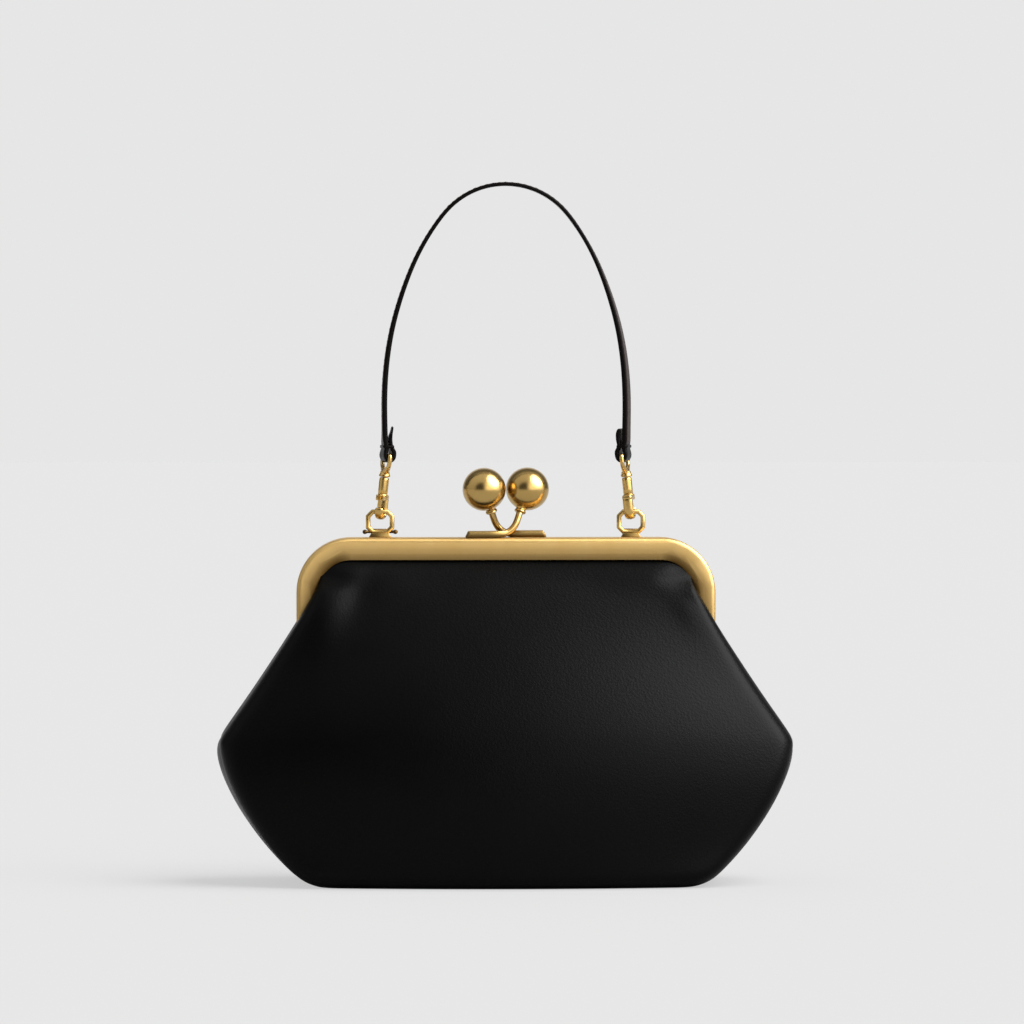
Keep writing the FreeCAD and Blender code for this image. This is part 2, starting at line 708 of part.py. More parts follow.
def hook_gate(label, side):
    # a lever from the pin down to the hook's tip, with a thumb piece that stands out above
    body = new_body(label)
    left, right = "pin_across - gate_width/2", "pin_across + gate_width/2"
    foot = "hook_tip + gate_rest"
    lever = trace(new_sketch(body, "YZ_Plane"), [
        (left, foot), (right, foot), (right, "pin_height - gate_thumb/2"),
        (f"{right} + gate_thumb", "pin_height + gate_thumb/2"),
        (f"{right} + gate_thumb", "pin_height + gate_thumb"),
        (right, "pin_height + gate_thumb/2"), (left, "pin_height")])
    pad(body, lever, "gate_thickness", midplane=True)
    eye = ring_of(new_sketch(body, "YZ_Plane"), "pin_across", "pin_height", "gate_eye_radius")
    pad(body, eye, "gate_thickness", midplane=True)
    hole = ring_of(new_sketch(body, "YZ_Plane"), "pin_across", "pin_height", "pin_radius + running_gap")
    pocket(body, hole, "gate_thickness + overrun", midplane=True)
    hang(body, side, "hook_twist_angle")


def gate_pin(label, side):
    body = new_body(label)
    pin = ring_of(new_sketch(body, "YZ_Plane"), "pin_across", "pin_height", "pin_radius")
    pad(body, pin, "hook_thickness", midplane=True)
    hang(body, side, "hook_twist_angle")


def gate_spring(label, side):
    # a leaf behind the gate, its foot against the throat
    body = new_body(label)
    back = "pin_across - gate_width/2"
    leaf = trace(new_sketch(body, "YZ_Plane"), [
        (f"{back} - spring_strip", "hook_throat - gate_width"), (back, "hook_throat - gate_width"),
        (back, "hook_throat"), (f"{back} - gate_width", "hook_throat"),
        (f"{back} - gate_width", "hook_throat - spring_strip"),
        (f"{back} - spring_strip", "hook_throat - spring_strip")])
    pad(body, leaf, "gate_thickness", midplane=True)
    hang(body, side, "hook_twist_angle")


def hook_eye(label, side):
    # a swivel post with a head, a collar, and a loop with a straight bar for the strap
    body = new_body(label)
    head = "barrel_top - barrel_lip - soft_gap"
    post = trace(new_sketch(body, "XZ_Plane"), [
        ("0", f"{head} - post_head"), ("post_head", f"{head} - post_head"), ("post_head", head),
        ("post_radius", head), ("post_radius", "collar_foot"), ("eye_collar_radius", "collar_foot"),
        ("eye_collar_radius", "eye_foot"), ("0", "eye_foot")])
    turned(body, post)
    half = "strap_width/2 + soft_gap"
    rim, shoulder = f"{half} + eye_wire", f"{half} + eye_wire*3/4"
    low, top = "eye_foot - eye_wire/2", "hook_reach + eye_wire/2"
    corner, under = "hook_reach + eye_wire/4", "hook_reach - eye_wire/2"
    sketch = new_sketch(body, "YZ_Plane")
    trace(sketch, [
        ("eye_neck", low), (rim, "eye_sill"), (rim, corner), (shoulder, top),
        (f"-({shoulder})", top), (f"-({rim})", corner), (f"-({rim})", "eye_sill"), ("-eye_neck", low)])
    trace(sketch, [(half, "eye_sill"), (half, under), (f"-({half})", under), (f"-({half})", "eye_sill")])
    pad(body, sketch, "eye_wire", midplane=True)
    hang(body, side)


def arch_face(face):
    # corners down one face of the right-hand half of the arch, each with the bulge of the arc after it
    arcs = [("0", "crown_level", "crown_radius", "0", "crown_angle"),
            ("flank_x", "flank_level", "shoulder_radius", "crown_angle", "shoulder_angle"),
            ("leg_x - side_radius", "leg_top", "side_radius", "shoulder_angle", "90")]
    corners = []
    for across, up, radius, start, end in arcs:
        reach = f"({radius} + {face})"
        corners.append((f"{across} + {reach}*sin({start})", f"{up} + {reach}*cos({start})",
                        f"{reach}*(1 - cos(({end} - {start})/2))"))
    return corners


def strap():
    # side view of the right-hand half: the arch, a leg, and a loop round the hook's eye whose tail
    # is pinched to the leg by the keeper and thins to its tip
    body = new_body("strap")
    face, keeper_top, tail_top = "strap_thickness/2", "keeper_foot + keeper_height", "loop_z + strap_tail"
    out, bore = quarter("loop_outer"), quarter("loop_bore")
    tail_back = "tail_face - strap_thickness"
    corners = [(x, z, f"-({bulge})") for x, z, bulge in arch_face(face)]
    corners += [
        (f"leg_x + {face}", "leg_top"),
        ("loop_x + loop_outer", "loop_z", f"-({out})"), ("loop_x", "loop_z - loop_outer", f"-({out})"),
        ("loop_x - loop_outer", "loop_z"), ("loop_x - loop_outer", "loop_z + loop_bore"),
        (tail_back, "keeper_foot"), (tail_back, tail_top), (f"{tail_back} + tail_thickness", tail_top),
        ("tail_face", keeper_top), ("tail_face", "keeper_foot"),
        ("loop_x - loop_bore", "loop_z + loop_bore"),
        ("loop_x - loop_bore", "loop_z", bore), ("loop_x", "loop_z - loop_bore", bore),
        ("loop_x + loop_bore", "loop_z"),
    ]
    inner = arch_face(f"-{face}")
    bulges = [bulge for _, _, bulge in inner]
    places = [(f"leg_x - {face}", "leg_top")] + [(x, z) for x, z, _ in reversed(inner)]
    corners += [(*place, bulge) for place, bulge in zip(places, reversed(bulges))]
    corners.append(places[-1])
    half = pad(body, trace(new_sketch(body, "XZ_Plane"), corners), "strap_width", midplane=True)
    whole = body.newObject("PartDesign::Mirrored", "strap_whole")
    whole.Originals = [half]
    whole.MirrorPlane = (origin_plane(body, "YZ_Plane"), [""])
    body.Tip = whole
    doc.recompute()
    bind(body, "Placement.Base.y", "half_centre")


def strap_keeper(label, side):
    # a leather band that pinches the tail to the leg
    body = new_body(label)
    long_in, wide_in = "strap_thickness + loop_gap/2 + keeper_gap", "strap_width/2 + keeper_gap"
    long_out, wide_out = f"{long_in} + keeper_wall", f"{wide_in} + keeper_wall"
    sketch = new_sketch(body, "XY_Plane")
    for along, across in ((long_out, wide_out), (long_in, wide_in)):
        trace(sketch, [(f"-({along})", f"-({across})"), (along, f"-({across})"),
                       (along, across), (f"-({along})", across)])
    pad(body, sketch, "keeper_height")
    bind(body, "Placement.Base.x", f"{side}*(tail_face + loop_gap/2)")
    bind(body, "Placement.Base.y", "half_centre")
    bind(body, "Placement.Base.z", "keeper_foot")


lower_panel("front_panel", 0)
lower_panel("back_panel", 180)
gusset("gusset_right", 0)
gusset("gusset_left", 180)
flat_base("base_panel", "0", "leather", "leather + soft_gap/2")
flat_base("base_board", "leather + soft_gap/2", "board", "leather + board_inset")
body_lining()
for half, turn in (("front", 0), ("back", 180)):
    flap(f"{half}_upper_panel", turn, "0", "leather")
    flap(f"{half}_upper_lining", turn, "leather + soft_gap/2", "lining")
    frame_half(f"{half}_frame", turn, half == "front")
    clasp_arm(f"{half}_clasp_arm", turn)
    clasp_ball(f"{half}_clasp_ball", turn)
strap()
for hand, side in (("left", -1), ("right", 1)):
    hinge_rivet(f"hinge_rivet_{hand}", 0 if side > 0 else 180)
    ring_lug(f"ring_lug_{hand}", side)
    ring(f"ring_{hand}", side)
    hook_body(f"hook_body_{hand}", side)
    hook_gate(f"hook_gate_{hand}", side)
    gate_pin(f"gate_pin_{hand}", side)
    gate_spring(f"gate_spring_{hand}", side)
    hook_eye(f"hook_eye_{hand}", side)
    strap_keeper(f"strap_keeper_{hand}", side)

doc.recompute()
for item in doc.Objects:
    if "Invalid" in item.State or "Error" in item.State:
        raise RuntimeError(f"{item.Label} is {item.State}")
for label, body in nodes.items():
    if body.Shape.isNull() or not body.Shape.isValid():
        raise RuntimeError(f"{label} has no sound shape")
    if len(body.Shape.Solids) != 1:
        raise RuntimeError(f"{label} has {len(body.Shape.Solids)} solids")
os.makedirs("parts", exist_ok=True)
for label, body in nodes.items():
    body.Shape.exportStep(f"parts/{label}.step")
    print(label, round(body.Shape.Volume, 1), body.Shape.BoundBox)
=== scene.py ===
from math import asin, atan, copysign, cos, exp, hypot, pi, radians, sin, sqrt
import bpy
from mathutils import Matrix, Vector


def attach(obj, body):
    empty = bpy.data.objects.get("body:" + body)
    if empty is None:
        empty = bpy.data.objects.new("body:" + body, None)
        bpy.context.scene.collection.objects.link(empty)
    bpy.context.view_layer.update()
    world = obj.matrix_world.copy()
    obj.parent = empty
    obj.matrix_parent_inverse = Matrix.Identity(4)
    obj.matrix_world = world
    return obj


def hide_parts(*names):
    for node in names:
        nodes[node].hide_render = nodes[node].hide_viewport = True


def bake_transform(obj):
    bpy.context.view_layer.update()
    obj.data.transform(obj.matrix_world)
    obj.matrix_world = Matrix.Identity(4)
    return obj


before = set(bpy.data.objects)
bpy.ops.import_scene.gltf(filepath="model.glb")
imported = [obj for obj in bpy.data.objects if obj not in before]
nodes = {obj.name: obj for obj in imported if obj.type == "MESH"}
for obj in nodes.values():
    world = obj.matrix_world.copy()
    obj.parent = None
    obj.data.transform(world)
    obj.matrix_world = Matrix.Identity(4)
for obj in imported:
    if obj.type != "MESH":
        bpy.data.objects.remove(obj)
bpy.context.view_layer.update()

mm = 0.001
hands = ((-1, "left"), (1, "right"))  # the side of X that each hand's pieces lie on
halves = ((1, "front"), (-1, "back"))  # the back's pieces are the front's, turned half round
print("frame loaded:", len(nodes), "nodes")


# Small helpers

def hexColour(text):
    # sRGB hex to the linear colour that the shaders take
    parts = [int(text[i:i + 2], 16) / 255 for i in (1, 3, 5)]
    return tuple(c / 12.92 if c <= 0.04045 else ((c + 0.055) / 1.055) ** 2.4 for c in parts) + (1.0,)


def smoothStep(low, high, value):
    t = min(1.0, max(0.0, (value - low) / (high - low)))
    return t * t * (3 - 2 * t)


def alongCurve(points, place):
    # a smooth curve through (place, size) points
    if place <= points[0][0]:
        return points[0][1]
    if place >= points[-1][0]:
        return points[-1][1]
    last = len(points) - 1
    n = max(i for i in range(last) if points[i][0] <= place)
    slopes = []
    for i in (n, n + 1):
        low, high = points[max(0, i - 1)], points[min(last, i + 1)]
        slopes.append((high[1] - low[1]) / (high[0] - low[0]))
    run = points[n + 1][0] - points[n][0]
    t = (place - points[n][0]) / run
    rise = t * t * (3 - 2 * t)
    return (points[n][1] * (1 - rise) + points[n + 1][1] * rise
            + run * t * (1 - t) * (slopes[0] * (1 - t) - slopes[1] * t))


def editMode():
    bpy.ops.object.mode_set(mode="EDIT")


def objectMode():
    bpy.ops.object.mode_set(mode="OBJECT")


def deselectAll():
    if bpy.context.object and bpy.context.object.mode != "OBJECT":
        objectMode()
    bpy.ops.object.select_all(action="DESELECT")


def pick(piece):
    deselectAll()
    piece.select_set(True)
    bpy.context.view_layer.objects.active = piece


def named(piece, name):
    piece.name = piece.data.name = name
    return piece


def newObject(name, data):
    piece = bpy.data.objects.new(name, data)
    bpy.context.scene.collection.objects.link(piece)
    return piece


def editAll(piece):
    # the whole of one piece, selected in edit mode
    pick(piece)
    editMode()
    bpy.ops.mesh.select_all(action="SELECT")


def finishWith(piece, kind, **settings):
    # adds a modifier and applies it at once
    pick(piece)
    modifier = piece.modifiers.new(kind.lower(), kind)
    for name, value in settings.items():
        setattr(modifier, name, value)
    bpy.ops.object.modifier_apply(modifier=modifier.name)


def subdivide(piece, levels=1):
    finishWith(piece, "SUBSURF", levels=levels, render_levels=levels)


def shapedGrid(name, columns, rows, place):
    # a grid whose vertices are moved to place(column, row), in millimetres
    deselectAll()
    bpy.ops.mesh.primitive_grid_add(x_subdivisions=columns - 1, y_subdivisions=rows - 1, size=1)
    piece = named(bpy.context.object, name)
    for n, vertex in enumerate(piece.data.vertices):
        vertex.co = Vector(place(n % columns, n // columns)) * mm
    return piece


def tidyMesh(piece, gap=0.01):
    # joins the vertices that meet and turns every face outwards
    editAll(piece)
    bpy.ops.mesh.remove_doubles(threshold=gap * mm)
    bpy.ops.mesh.normals_make_consistent()
    objectMode()


def smoothShade(piece, degrees=40):
    pick(piece)
    bpy.ops.object.shade_smooth_by_angle(angle=radians(degrees))


def sweptPiece(name, rings):
    # a closed, smoothed bar through rings of points, each ring with the same number of points
    count = len(rings[0])
    piece = shapedGrid(name, count + 1, len(rings), lambda column, row: rings[row][column % count])
    tidyMesh(piece)
    editMode()
    bpy.ops.mesh.select_all(action="DESELECT")
    bpy.ops.mesh.select_mode(type="EDGE")
    bpy.ops.mesh.select_non_manifold(extend=False)
    bpy.ops.mesh.fill_holes(sides=0)
    bpy.ops.mesh.select_all(action="SELECT")
    bpy.ops.mesh.normals_make_consistent()
    bpy.ops.mesh.select_mode(type="VERT")
    subdivide(piece)
    return piece


def turnedPiece(name, profile, sides=40):
    # a lathe-turned solid about Z: a filled circle, extruded ring by ring through (radius, height) points
    deselectAll()
    radius, height = profile[0]
    bpy.ops.mesh.primitive_circle_add(vertices=sides, radius=radius * mm, fill_type="NGON",
                                      location=(0, 0, height * mm))
    piece = named(bpy.context.object, name)
    bpy.ops.object.transform_apply()
    editAll(piece)
    for (r0, h0), (r1, h1) in zip(profile, profile[1:]):
        bpy.ops.mesh.extrude_region_move(TRANSFORM_OT_translate={"value": (0, 0, (h1 - h0) * mm)})
        bpy.ops.transform.resize(value=(r1 / r0, r1 / r0, 1.0), center_override=(0, 0, 0))
    objectMode()
    tidyMesh(piece, 0.001)
    return piece


def wirePiece(name, spots, radii):
    # a round wire along a NURBS line, thicker and thinner on the way
    curve = bpy.data.curves.new(name, "CURVE")
    curve.dimensions = "3D"
    curve.bevel_depth = mm
    curve.bevel_resolution = 4
    curve.resolution_u = 8
    curve.use_fill_caps = True
    line = curve.splines.new("NURBS")
    line.points.add(len(spots) - 1)
    for point, spot, radius in zip(line.points, spots, radii):
        point.co = (*(Vector(spot) * mm), 1.0)
        point.radius = radius
    line.use_endpoint_u = True
    line.order_u = 3
    pick(newObject(name, curve))
    bpy.ops.object.convert(target="MESH")
    piece = named(bpy.context.object, name)
    tidyMesh(piece, 0.001)
    return piece


def blockPiece(name, size, middle, edge):
    # a bevelled block, placed by its middle
    deselectAll()
    bpy.ops.mesh.primitive_cube_add(size=1, location=Vector(middle) * mm)
    piece = named(bpy.context.object, name)
    piece.scale = Vector(size) * mm
    bpy.ops.object.transform_apply()
    finishWith(piece, "BEVEL", width=edge * mm, segments=3)
    return piece


def placePiece(piece, spin, spot):
    # turns a piece made at the origin and puts it where it belongs
    pick(piece)
    piece.matrix_world = Matrix.Translation(Vector(spot) * mm) @ spin.to_4x4()
    bpy.ops.object.transform_apply()


def joinPieces(name, pieces):
    pick(pieces[0])
    for piece in pieces:
        piece.select_set(True)
    bpy.ops.object.join()
    return named(pieces[0], name)


def dressIn(piece, slot, material=None):
    piece.data.materials.clear()
    piece.data.materials.append(material or finishes[slot])


def fitPiece(piece, slot, body, *replaced, material=None):
    dressIn(piece, slot, material)
    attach(piece, body)
    if replaced:
        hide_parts(*replaced)


def paint(piece, attribute, share):
    # how far each point is painted brown, kept as an attribute that the piece's material reads: the strap's
    # brown outer face, and painted shade on the brass
    tone = piece.data.attributes.new(attribute, "FLOAT", "POINT")
    for vertex, value in zip(piece.data.vertices, tone.data):
        value.value = share(vertex.co / mm, vertex.normal)


# Materials

def setInputs(node, inputs):
    # a socket, or a node's first live output, is linked; a hex colour or a number is a constant
    for socket, value in inputs.items():
        if isinstance(value, bpy.types.Node):
            value = next(output for output in value.outputs if output.enabled)
        if isinstance(value, bpy.types.NodeSocket):
            node.id_data.links.new(value, node.inputs[socket])
        else:
            node.inputs[socket].default_value = hexColour(value) if isinstance(value, str) else value


def addNode(tree, kind, inputs=None, **settings):
    node = tree.nodes.new("ShaderNode" + kind)
    for name, value in settings.items():
        setattr(node, name, value)
    setInputs(node, inputs or {})
    return node


def newMaterial(name):
    material = bpy.data.materials.new(name)
    material.use_nodes = True
    tree = material.node_tree
    return material, tree, tree.nodes["Principled BSDF"]


def toneWithBrownAndPaintedShade(tree, marks, colour, worn, attribute, brown):
    # two tones mixed by a pattern, then turned brown as far as the piece's attribute says: the strap's brown
    # outer face, and painted shade on the brass
    tint = addNode(tree, "Mix", {"Factor": marks, "A": colour, "B": worn}, data_type="RGBA")
    share = addNode(tree, "Attribute", attribute_name=attribute).outputs["Fac"]
    return addNode(tree, "Mix", {"Factor": share, "A": tint, "B": brown}, data_type="RGBA")


leatherLook = {"grainMm": 0.85, "poreMm": 0.45, "cloudMm": 34.0,  # pebbles, pores and worn clouds
               "pebble": 0.42, "pebbleDeepMm": 0.12, "pore": 0.34, "poreDeepMm": 0.10,
               "specular": 0.06, "polished": 0.32, "dull": 0.42, "browned": "#2b1c16"}


def nappaLeather(name, colour, worn):
    # drum-dyed calf nappa with a light satin finish: a fine pebble grain, pores, and a broad soft sheen
    look = leatherLook
    material, tree, shader = newMaterial(name)
    spot = addNode(tree, "TexCoord").outputs["Object"]
    cells = addNode(tree, "TexVoronoi", {"Vector": spot, "Scale": 1 / (look["grainMm"] * mm)},
                    feature="SMOOTH_F1")
    pores, clouds = [
        addNode(tree, "TexNoise", {"Vector": spot, "Scale": 1 / (look[size] * mm), "Detail": detail})
        for size, detail in (("poreMm", 3.0), ("cloudMm", 4.0))]
    tone = toneWithBrownAndPaintedShade(tree, clouds, colour, worn, "browned", look["browned"])
    polish = addNode(tree, "MapRange", {"Value": clouds, "To Min": look["polished"], "To Max": look["dull"]})
    pebble = addNode(tree, "Bump", {
        "Height": cells, "Strength": look["pebble"], "Distance": look["pebbleDeepMm"] * mm})
    fine = addNode(tree, "Bump", {
        "Height": pores, "Strength": look["pore"], "Distance": look["poreDeepMm"] * mm, "Normal": pebble})
    setInputs(shader, {
        "Base Color": tone, "Roughness": polish, "Normal": fine, "Specular IOR Level": look["specular"]})
    return material


# the last colour is the brown of painted shade, laid on brass where a piece's attribute says
brassLook = {"mottleMm": 9.0, "smoother": 0.8, "rougher": 1.25, "relief": 0.02, "reliefMm": 0.05,
             "paintedShade": "#4d3717"}


def brass(name, colour, dark, roughness, brushMm):
    # plated brass under clear lacquer: warm mirror with a faint mottle and tiny wear marks,
    # and painted shade in brown where the piece's attribute says
    look = brassLook
    material, tree, shader = newMaterial(name)
    spot = addNode(tree, "TexCoord").outputs["Object"]
    mottle, scuff = [
        addNode(tree, "TexNoise", {"Vector": spot, "Scale": 1 / (size * mm), "Detail": detail})
        for size, detail in ((look["mottleMm"], 5.0), (brushMm, 2.0))]
    tone = toneWithBrownAndPaintedShade(tree, mottle, colour, dark, "paintedShade", look["paintedShade"])
    polish = addNode(tree, "MapRange", {
        "Value": scuff, "To Min": roughness * look["smoother"], "To Max": roughness * look["rougher"]})
    bump = addNode(tree, "Bump", {
        "Height": scuff, "Strength": look["relief"], "Distance": look["reliefMm"] * mm})
    setInputs(shader, {"Base Color": tone, "Roughness": polish, "Normal": bump, "Metallic": 1.0})
    return material


def plainMaterial(name, pattern, sizeMm, colours, roughness, inputs, relief=0.0, **settings):
    # one even pattern between two tones, with a relief of up to 0.1 mm where it has one
    material, tree, shader = newMaterial(name)
    spot = addNode(tree, "TexCoord").outputs["Object"]
    marks = addNode(tree, pattern, {"Vector": spot, "Scale": 1 / (sizeMm * mm), **inputs}, **settings)
    marks = marks.outputs["Fac"]
    tint = addNode(tree, "Mix", {"Factor": marks, "A": colours[0], "B": colours[1]}, data_type="RGBA")
    setInputs(shader, {"Base Color": tint, "Roughness": roughness})
    if relief:
        bump = addNode(tree, "Bump", {"Height": marks, "Strength": relief, "Distance": 0.1 * mm})
        setInputs(shader, {"Normal": bump})
    return material


# the finish of each slot; the bands of a wave lie 0.31 of its size apart
finishes = {
    "bag_leather": nappaLeather("nappaLeatherBlack", "#030303", "#060606"),
    "strap_leather": nappaLeather("strapLeatherBlack", "#050303", "#0e0a08"),
    "frame_brass": brass("satinBrassFrame", "#cdae73", "#c09d5f", 0.45, 0.6),
    "clasp_brass": brass("polishedBrassClasp", "#b99c62", "#a98a50", 0.22, 0.8),
    "fitting_brass": brass("castBrassFittings", "#cdad6c", "#b3904f", 0.24, 0.5),
    # drawn steel wire: cold and bright, with the same faint marks as the brass
    "spring_steel": brass("springSteel", "#b9b7b2", "#8f8d88", 0.28, 0.4),
    # cotton twill, drawn at 0.7 mm a thread so that it shows: dull, with fine slanting lines
    "lining_cloth": plainMaterial("cottonTwillLining", "TexWave", 2.2, ("#2a2523", "#3a3330"), 0.85,
                                  {"Distortion": 0.6}, 0.3, bands_direction="DIAGONAL"),
    # pressed grey board: dull, with short fibres
    "base_board": plainMaterial("pressedGreyBoard", "TexNoise", 1.5, ("#6d675f", "#8a8379"), 0.9,
                                {"Detail": 6.0}),
}
# a dark brass for the left ring's pin and its knobs
darkBrass = brass("darkBrassPin", "#5a4526", "#3a2c18", 0.35, 0.5)
# twisted linen thread drawn through wax: dark, with a painted dull highlight on each twist in its lighter
# bands
thread = plainMaterial("waxedLinenThread", "TexWave", 1.6, ("#1d1714", "#3a302b"), 0.5, {},
                       bands_direction="DIAGONAL")
print("materials made")


# Leather bag: two panels, two gussets and a base, all drawn from the same cross-sections

# the frame's inner outline, which the bag's mouth follows too
mouth = {"innerX": 75.2, "cornerX": 62.0, "cornerZ": 116.8, "cornerRadius": 13.2, "height": 130.0}

bag = {
    "thickness": 1.8,
    # half depth at each height, in the middle and towards the ends, and half width
    "middle": [
        (0, 37.0), (20, 40.0), (42, 41.0), (60, 39.3), (75, 35.0), (90, 28.8), (105, 21.4), (117, 14.8),
        (125, 9.4), (130, 4.8)],
    "ends": [
        (0, 30.5), (20, 26.0), (42, 22.5), (60, 19.8), (75, 17.6), (90, 15.6), (105, 13.2), (116, 10.9),
        (122, 9.7), (126, 8.2), (130, 4.8)],
    "outline": [
        (0, 76.5), (2.2, 81.3), (6.2, 86.0), (14.2, 93.8), (22.2, 100.1), (30.2, 105.5), (38.2, 109.8),
        (46.2, 113.0), (52.5, 114.5), (57, 114.9), (60, 114.0), (64, 111.3), (74, 104.3), (90, 93.6),
        (104, 84.6), (112, 80.0), (116.8, 77.5), (121, 75.4), (126, 72.8), (130, 70.0)],
    # the panels' rows: turns in the roll at the foot, then heights
    "rollTurns": (pi / 8, pi / 4, pi / 2.7),
    "rows": [
        9.5, 16, 25, 34, 42, 48, 52.5, 55.5, 57.5, 59.5, 63, 69, 76, 83, 90, 97, 103, 108, 111.5, 114.5,
        117, 119, 121, 123, 125, 126.7, 128.2, 129.3, 130.0],
    "softening": 8.0,
    "baseRoll": 6.0, "baseSplay": 0.15,  # the base rolls under less at its ends
    "baseInset": 6.3, "baseZ": 0.5, "baseThickness": 1.3,
    # how far the leather goes into the channel, and how it tucks under the frame's corners
    "tuckHeight": 6.0, "channelDepth": 5.2, "cornerTuck": 3.0, "tuckSpread": 3.0, "cornerEase": 4.0,
    # between these heights the edge passes from before the frame's leg into its channel
    "slipTop": 126.0, "slipFoot": 117.0, "tuckFoot": 121.5, "slipReach": 14.0,
    "edgeRoll": 10.0, "leastRoll": 1.5, "frameClear": 8.4, "slopeRun": 2.0,
    "gussetTop": 84.0, "gussetFold": 9.0, "foldFoot": 50.0, "foldRound": 1.2,
    "seamTuck": 0.8, "gussetBulge": {1: 1.9, -1: 2.5},
    "turnStart": 84.0, "turnEnd": 112.0,  # the heights of a band of the leather just below its frame half
    # soft ridges and puckers: x, height, reach along, reach across, lean in degrees, how far it stands out
    "puckers": [(-73, 110, 15, 9, 72, 3.0), (-58, 117, 9, 5, 60, -0.9), (68, 119, 8, 2.6, -52, -0.8),
                (72, 113, 11, 4, -62, 0.9), (-30, 122, 16, 5, 8, -0.4), (34, 121, 14, 5, -6, -0.4)],
}


def halfWidth(z):
    side = alongCurve(bag["outline"], z)
    foot = mouth["cornerZ"] - bag["cornerEase"]
    if z < foot:
        return side
    # along the frame's inner corner the edge slips under the brass
    tuck = bag["cornerTuck"] * smoothStep(bag["tuckFoot"], bag["slipTop"], z)
    reach = mouth["cornerRadius"] + tuck
    up = max(0.0, min(z, mouth["height"]) - mouth["cornerZ"])
    corner = mouth["cornerX"] + sqrt(reach ** 2 - up ** 2)
    blend = smoothStep(foot, bag["slipTop"], z)
    return side * (1 - blend) + min(side + bag["tuckSpread"] * tuck, corner) * blend


def bowWidth(z):
    # the half width with its sharp tip rounded off, so that the face has no crease at the belly
    return sum(halfWidth(max(0.0, z + n * bag["softening"])) for n in (-2, -1, 0, 1, 2)) / 5


def faceDepth(x, z):
    # how far the leather stands out in front of the bag's middle plane
    middle = alongCurve(bag["middle"], z)
    ends = min(middle, alongCurve(bag["ends"], z))
    depth = middle - (middle - ends) * (x / bowWidth(z)) ** 2
    for across, height, along, beside, lean, out in bag["puckers"]:
        turn = radians(lean)
        a = (x - across) * cos(turn) + (z - height) * sin(turn)
        b = (z - height) * cos(turn) - (x - across) * sin(turn)
        depth += out * exp(-(a / along) ** 2 - (b / beside) ** 2)
    slip = smoothStep(bag["slipFoot"], bag["slipTop"], z)
    edge = smoothStep(-bag["slipReach"], 0, abs(x) - halfWidth(z))
    return depth - slip * edge * max(0.0, depth - bag["channelDepth"])


def panelEdge(z, inset, side):
    # half width, where the face ends, the radius of its rolled edge, and the face's slope there
    width = halfWidth(z) - inset * bag["baseSplay"]
    z = max(z, bag["baseRoll"])
    start = width - 0.5 * bag["edgeRoll"]
    depth = faceDepth(side * start, z)
    roll = min(bag["edgeRoll"], max(bag["leastRoll"], depth - bag["frameClear"]))
    slope = atan(max(0.0, faceDepth(side * (start - bag["slopeRun"]), z) - depth) / bag["slopeRun"])
    return width, width - roll * (1 - sin(slope)), roll, slope


panelColumns = 33
rollAngles = [0.2, 0.4, 0.6, 0.8, 1.0, 1.3]  # shares of the way from the panel's face to the side


def acrossPanel(z, inset, column, wrap=1.0):
    # one point of the front panel's cross-section: the bowed face, then the rolled edges,
    # as far round as wrap says
    step = column - len(rollAngles)
    share = 2 * step / (panelColumns - 1) - 1
    side = -1 if share < 0 else 1
    inner, roll, slope = panelEdge(z, inset, side)[1:]
    z = max(z, bag["baseRoll"])
    if 0 <= step < panelColumns:
        return inner * share, inset - faceDepth(inner * share, z)
    turn = rollAngles[-step - 1 if step < 0 else step - panelColumns] * wrap
    angle = slope + (pi / 2 - slope) * turn
    depth = faceDepth(side * inner, z) - inset + roll * (cos(angle) - cos(slope))
    return side * (inner + roll * (sin(angle) - sin(slope))), -depth


def panelLevels(top):
    # (height, inset) of each row: the foot, the roll up from it, the face and the tuck
    roll = bag["baseRoll"]
    rows = [(0.0, roll)]
    rows += [(roll * (1 - cos(a)), roll * (1 - sin(a))) for a in bag["rollTurns"]]
    rows += [(z, 0.0) for z in [roll] + bag["rows"]]
    rows += [(mouth["height"] + bag["tuckHeight"] * share, 0.0) for share in (0.5, 1.0) if top]
    return rows


def faceOutwards(piece, outward):
    # an open sheet: its normals point the way that outward gives
    editAll(piece)
    bpy.ops.mesh.normals_make_consistent()
    objectMode()
    if sum(face.normal.dot(Vector(outward)) * face.area for face in piece.data.polygons) < 0:
        editMode()
        bpy.ops.mesh.flip_normals()
        objectMode()


def thicken(piece, outward, thickness, levels=2):
    # a smooth sheet given its thickness inwards
    subdivide(piece, levels)
    faceOutwards(piece, outward)
    finishWith(piece, "SOLIDIFY", thickness=thickness * mm, offset=-1.0)
    for vertex in piece.data.vertices:
        vertex.co.z = max(vertex.co.z, 0.0)  # flat where it stands on the floor
    smoothShade(piece, 60)


def panelSheet(name, facing, rows, slot, thickness, levels=2, wrap=1.0):
    # a sheet across the bag through (height, inset) rows
    def place(column, row):
        z, inset = rows[row]
        x, y = acrossPanel(z, inset, column, wrap)
        return facing * x, facing * y, z

    piece = shapedGrid(name, panelColumns + 2 * len(rollAngles), len(rows), place)
    thicken(piece, (0, -facing, 0), thickness, levels)
    dressIn(piece, slot)
    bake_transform(piece)
    return piece


for facing, half in halves:
    piece = panelSheet(half + "Leather", facing, panelLevels(True), "bag_leather", bag["thickness"])
    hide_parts(half + "_panel", half + "_upper_panel")


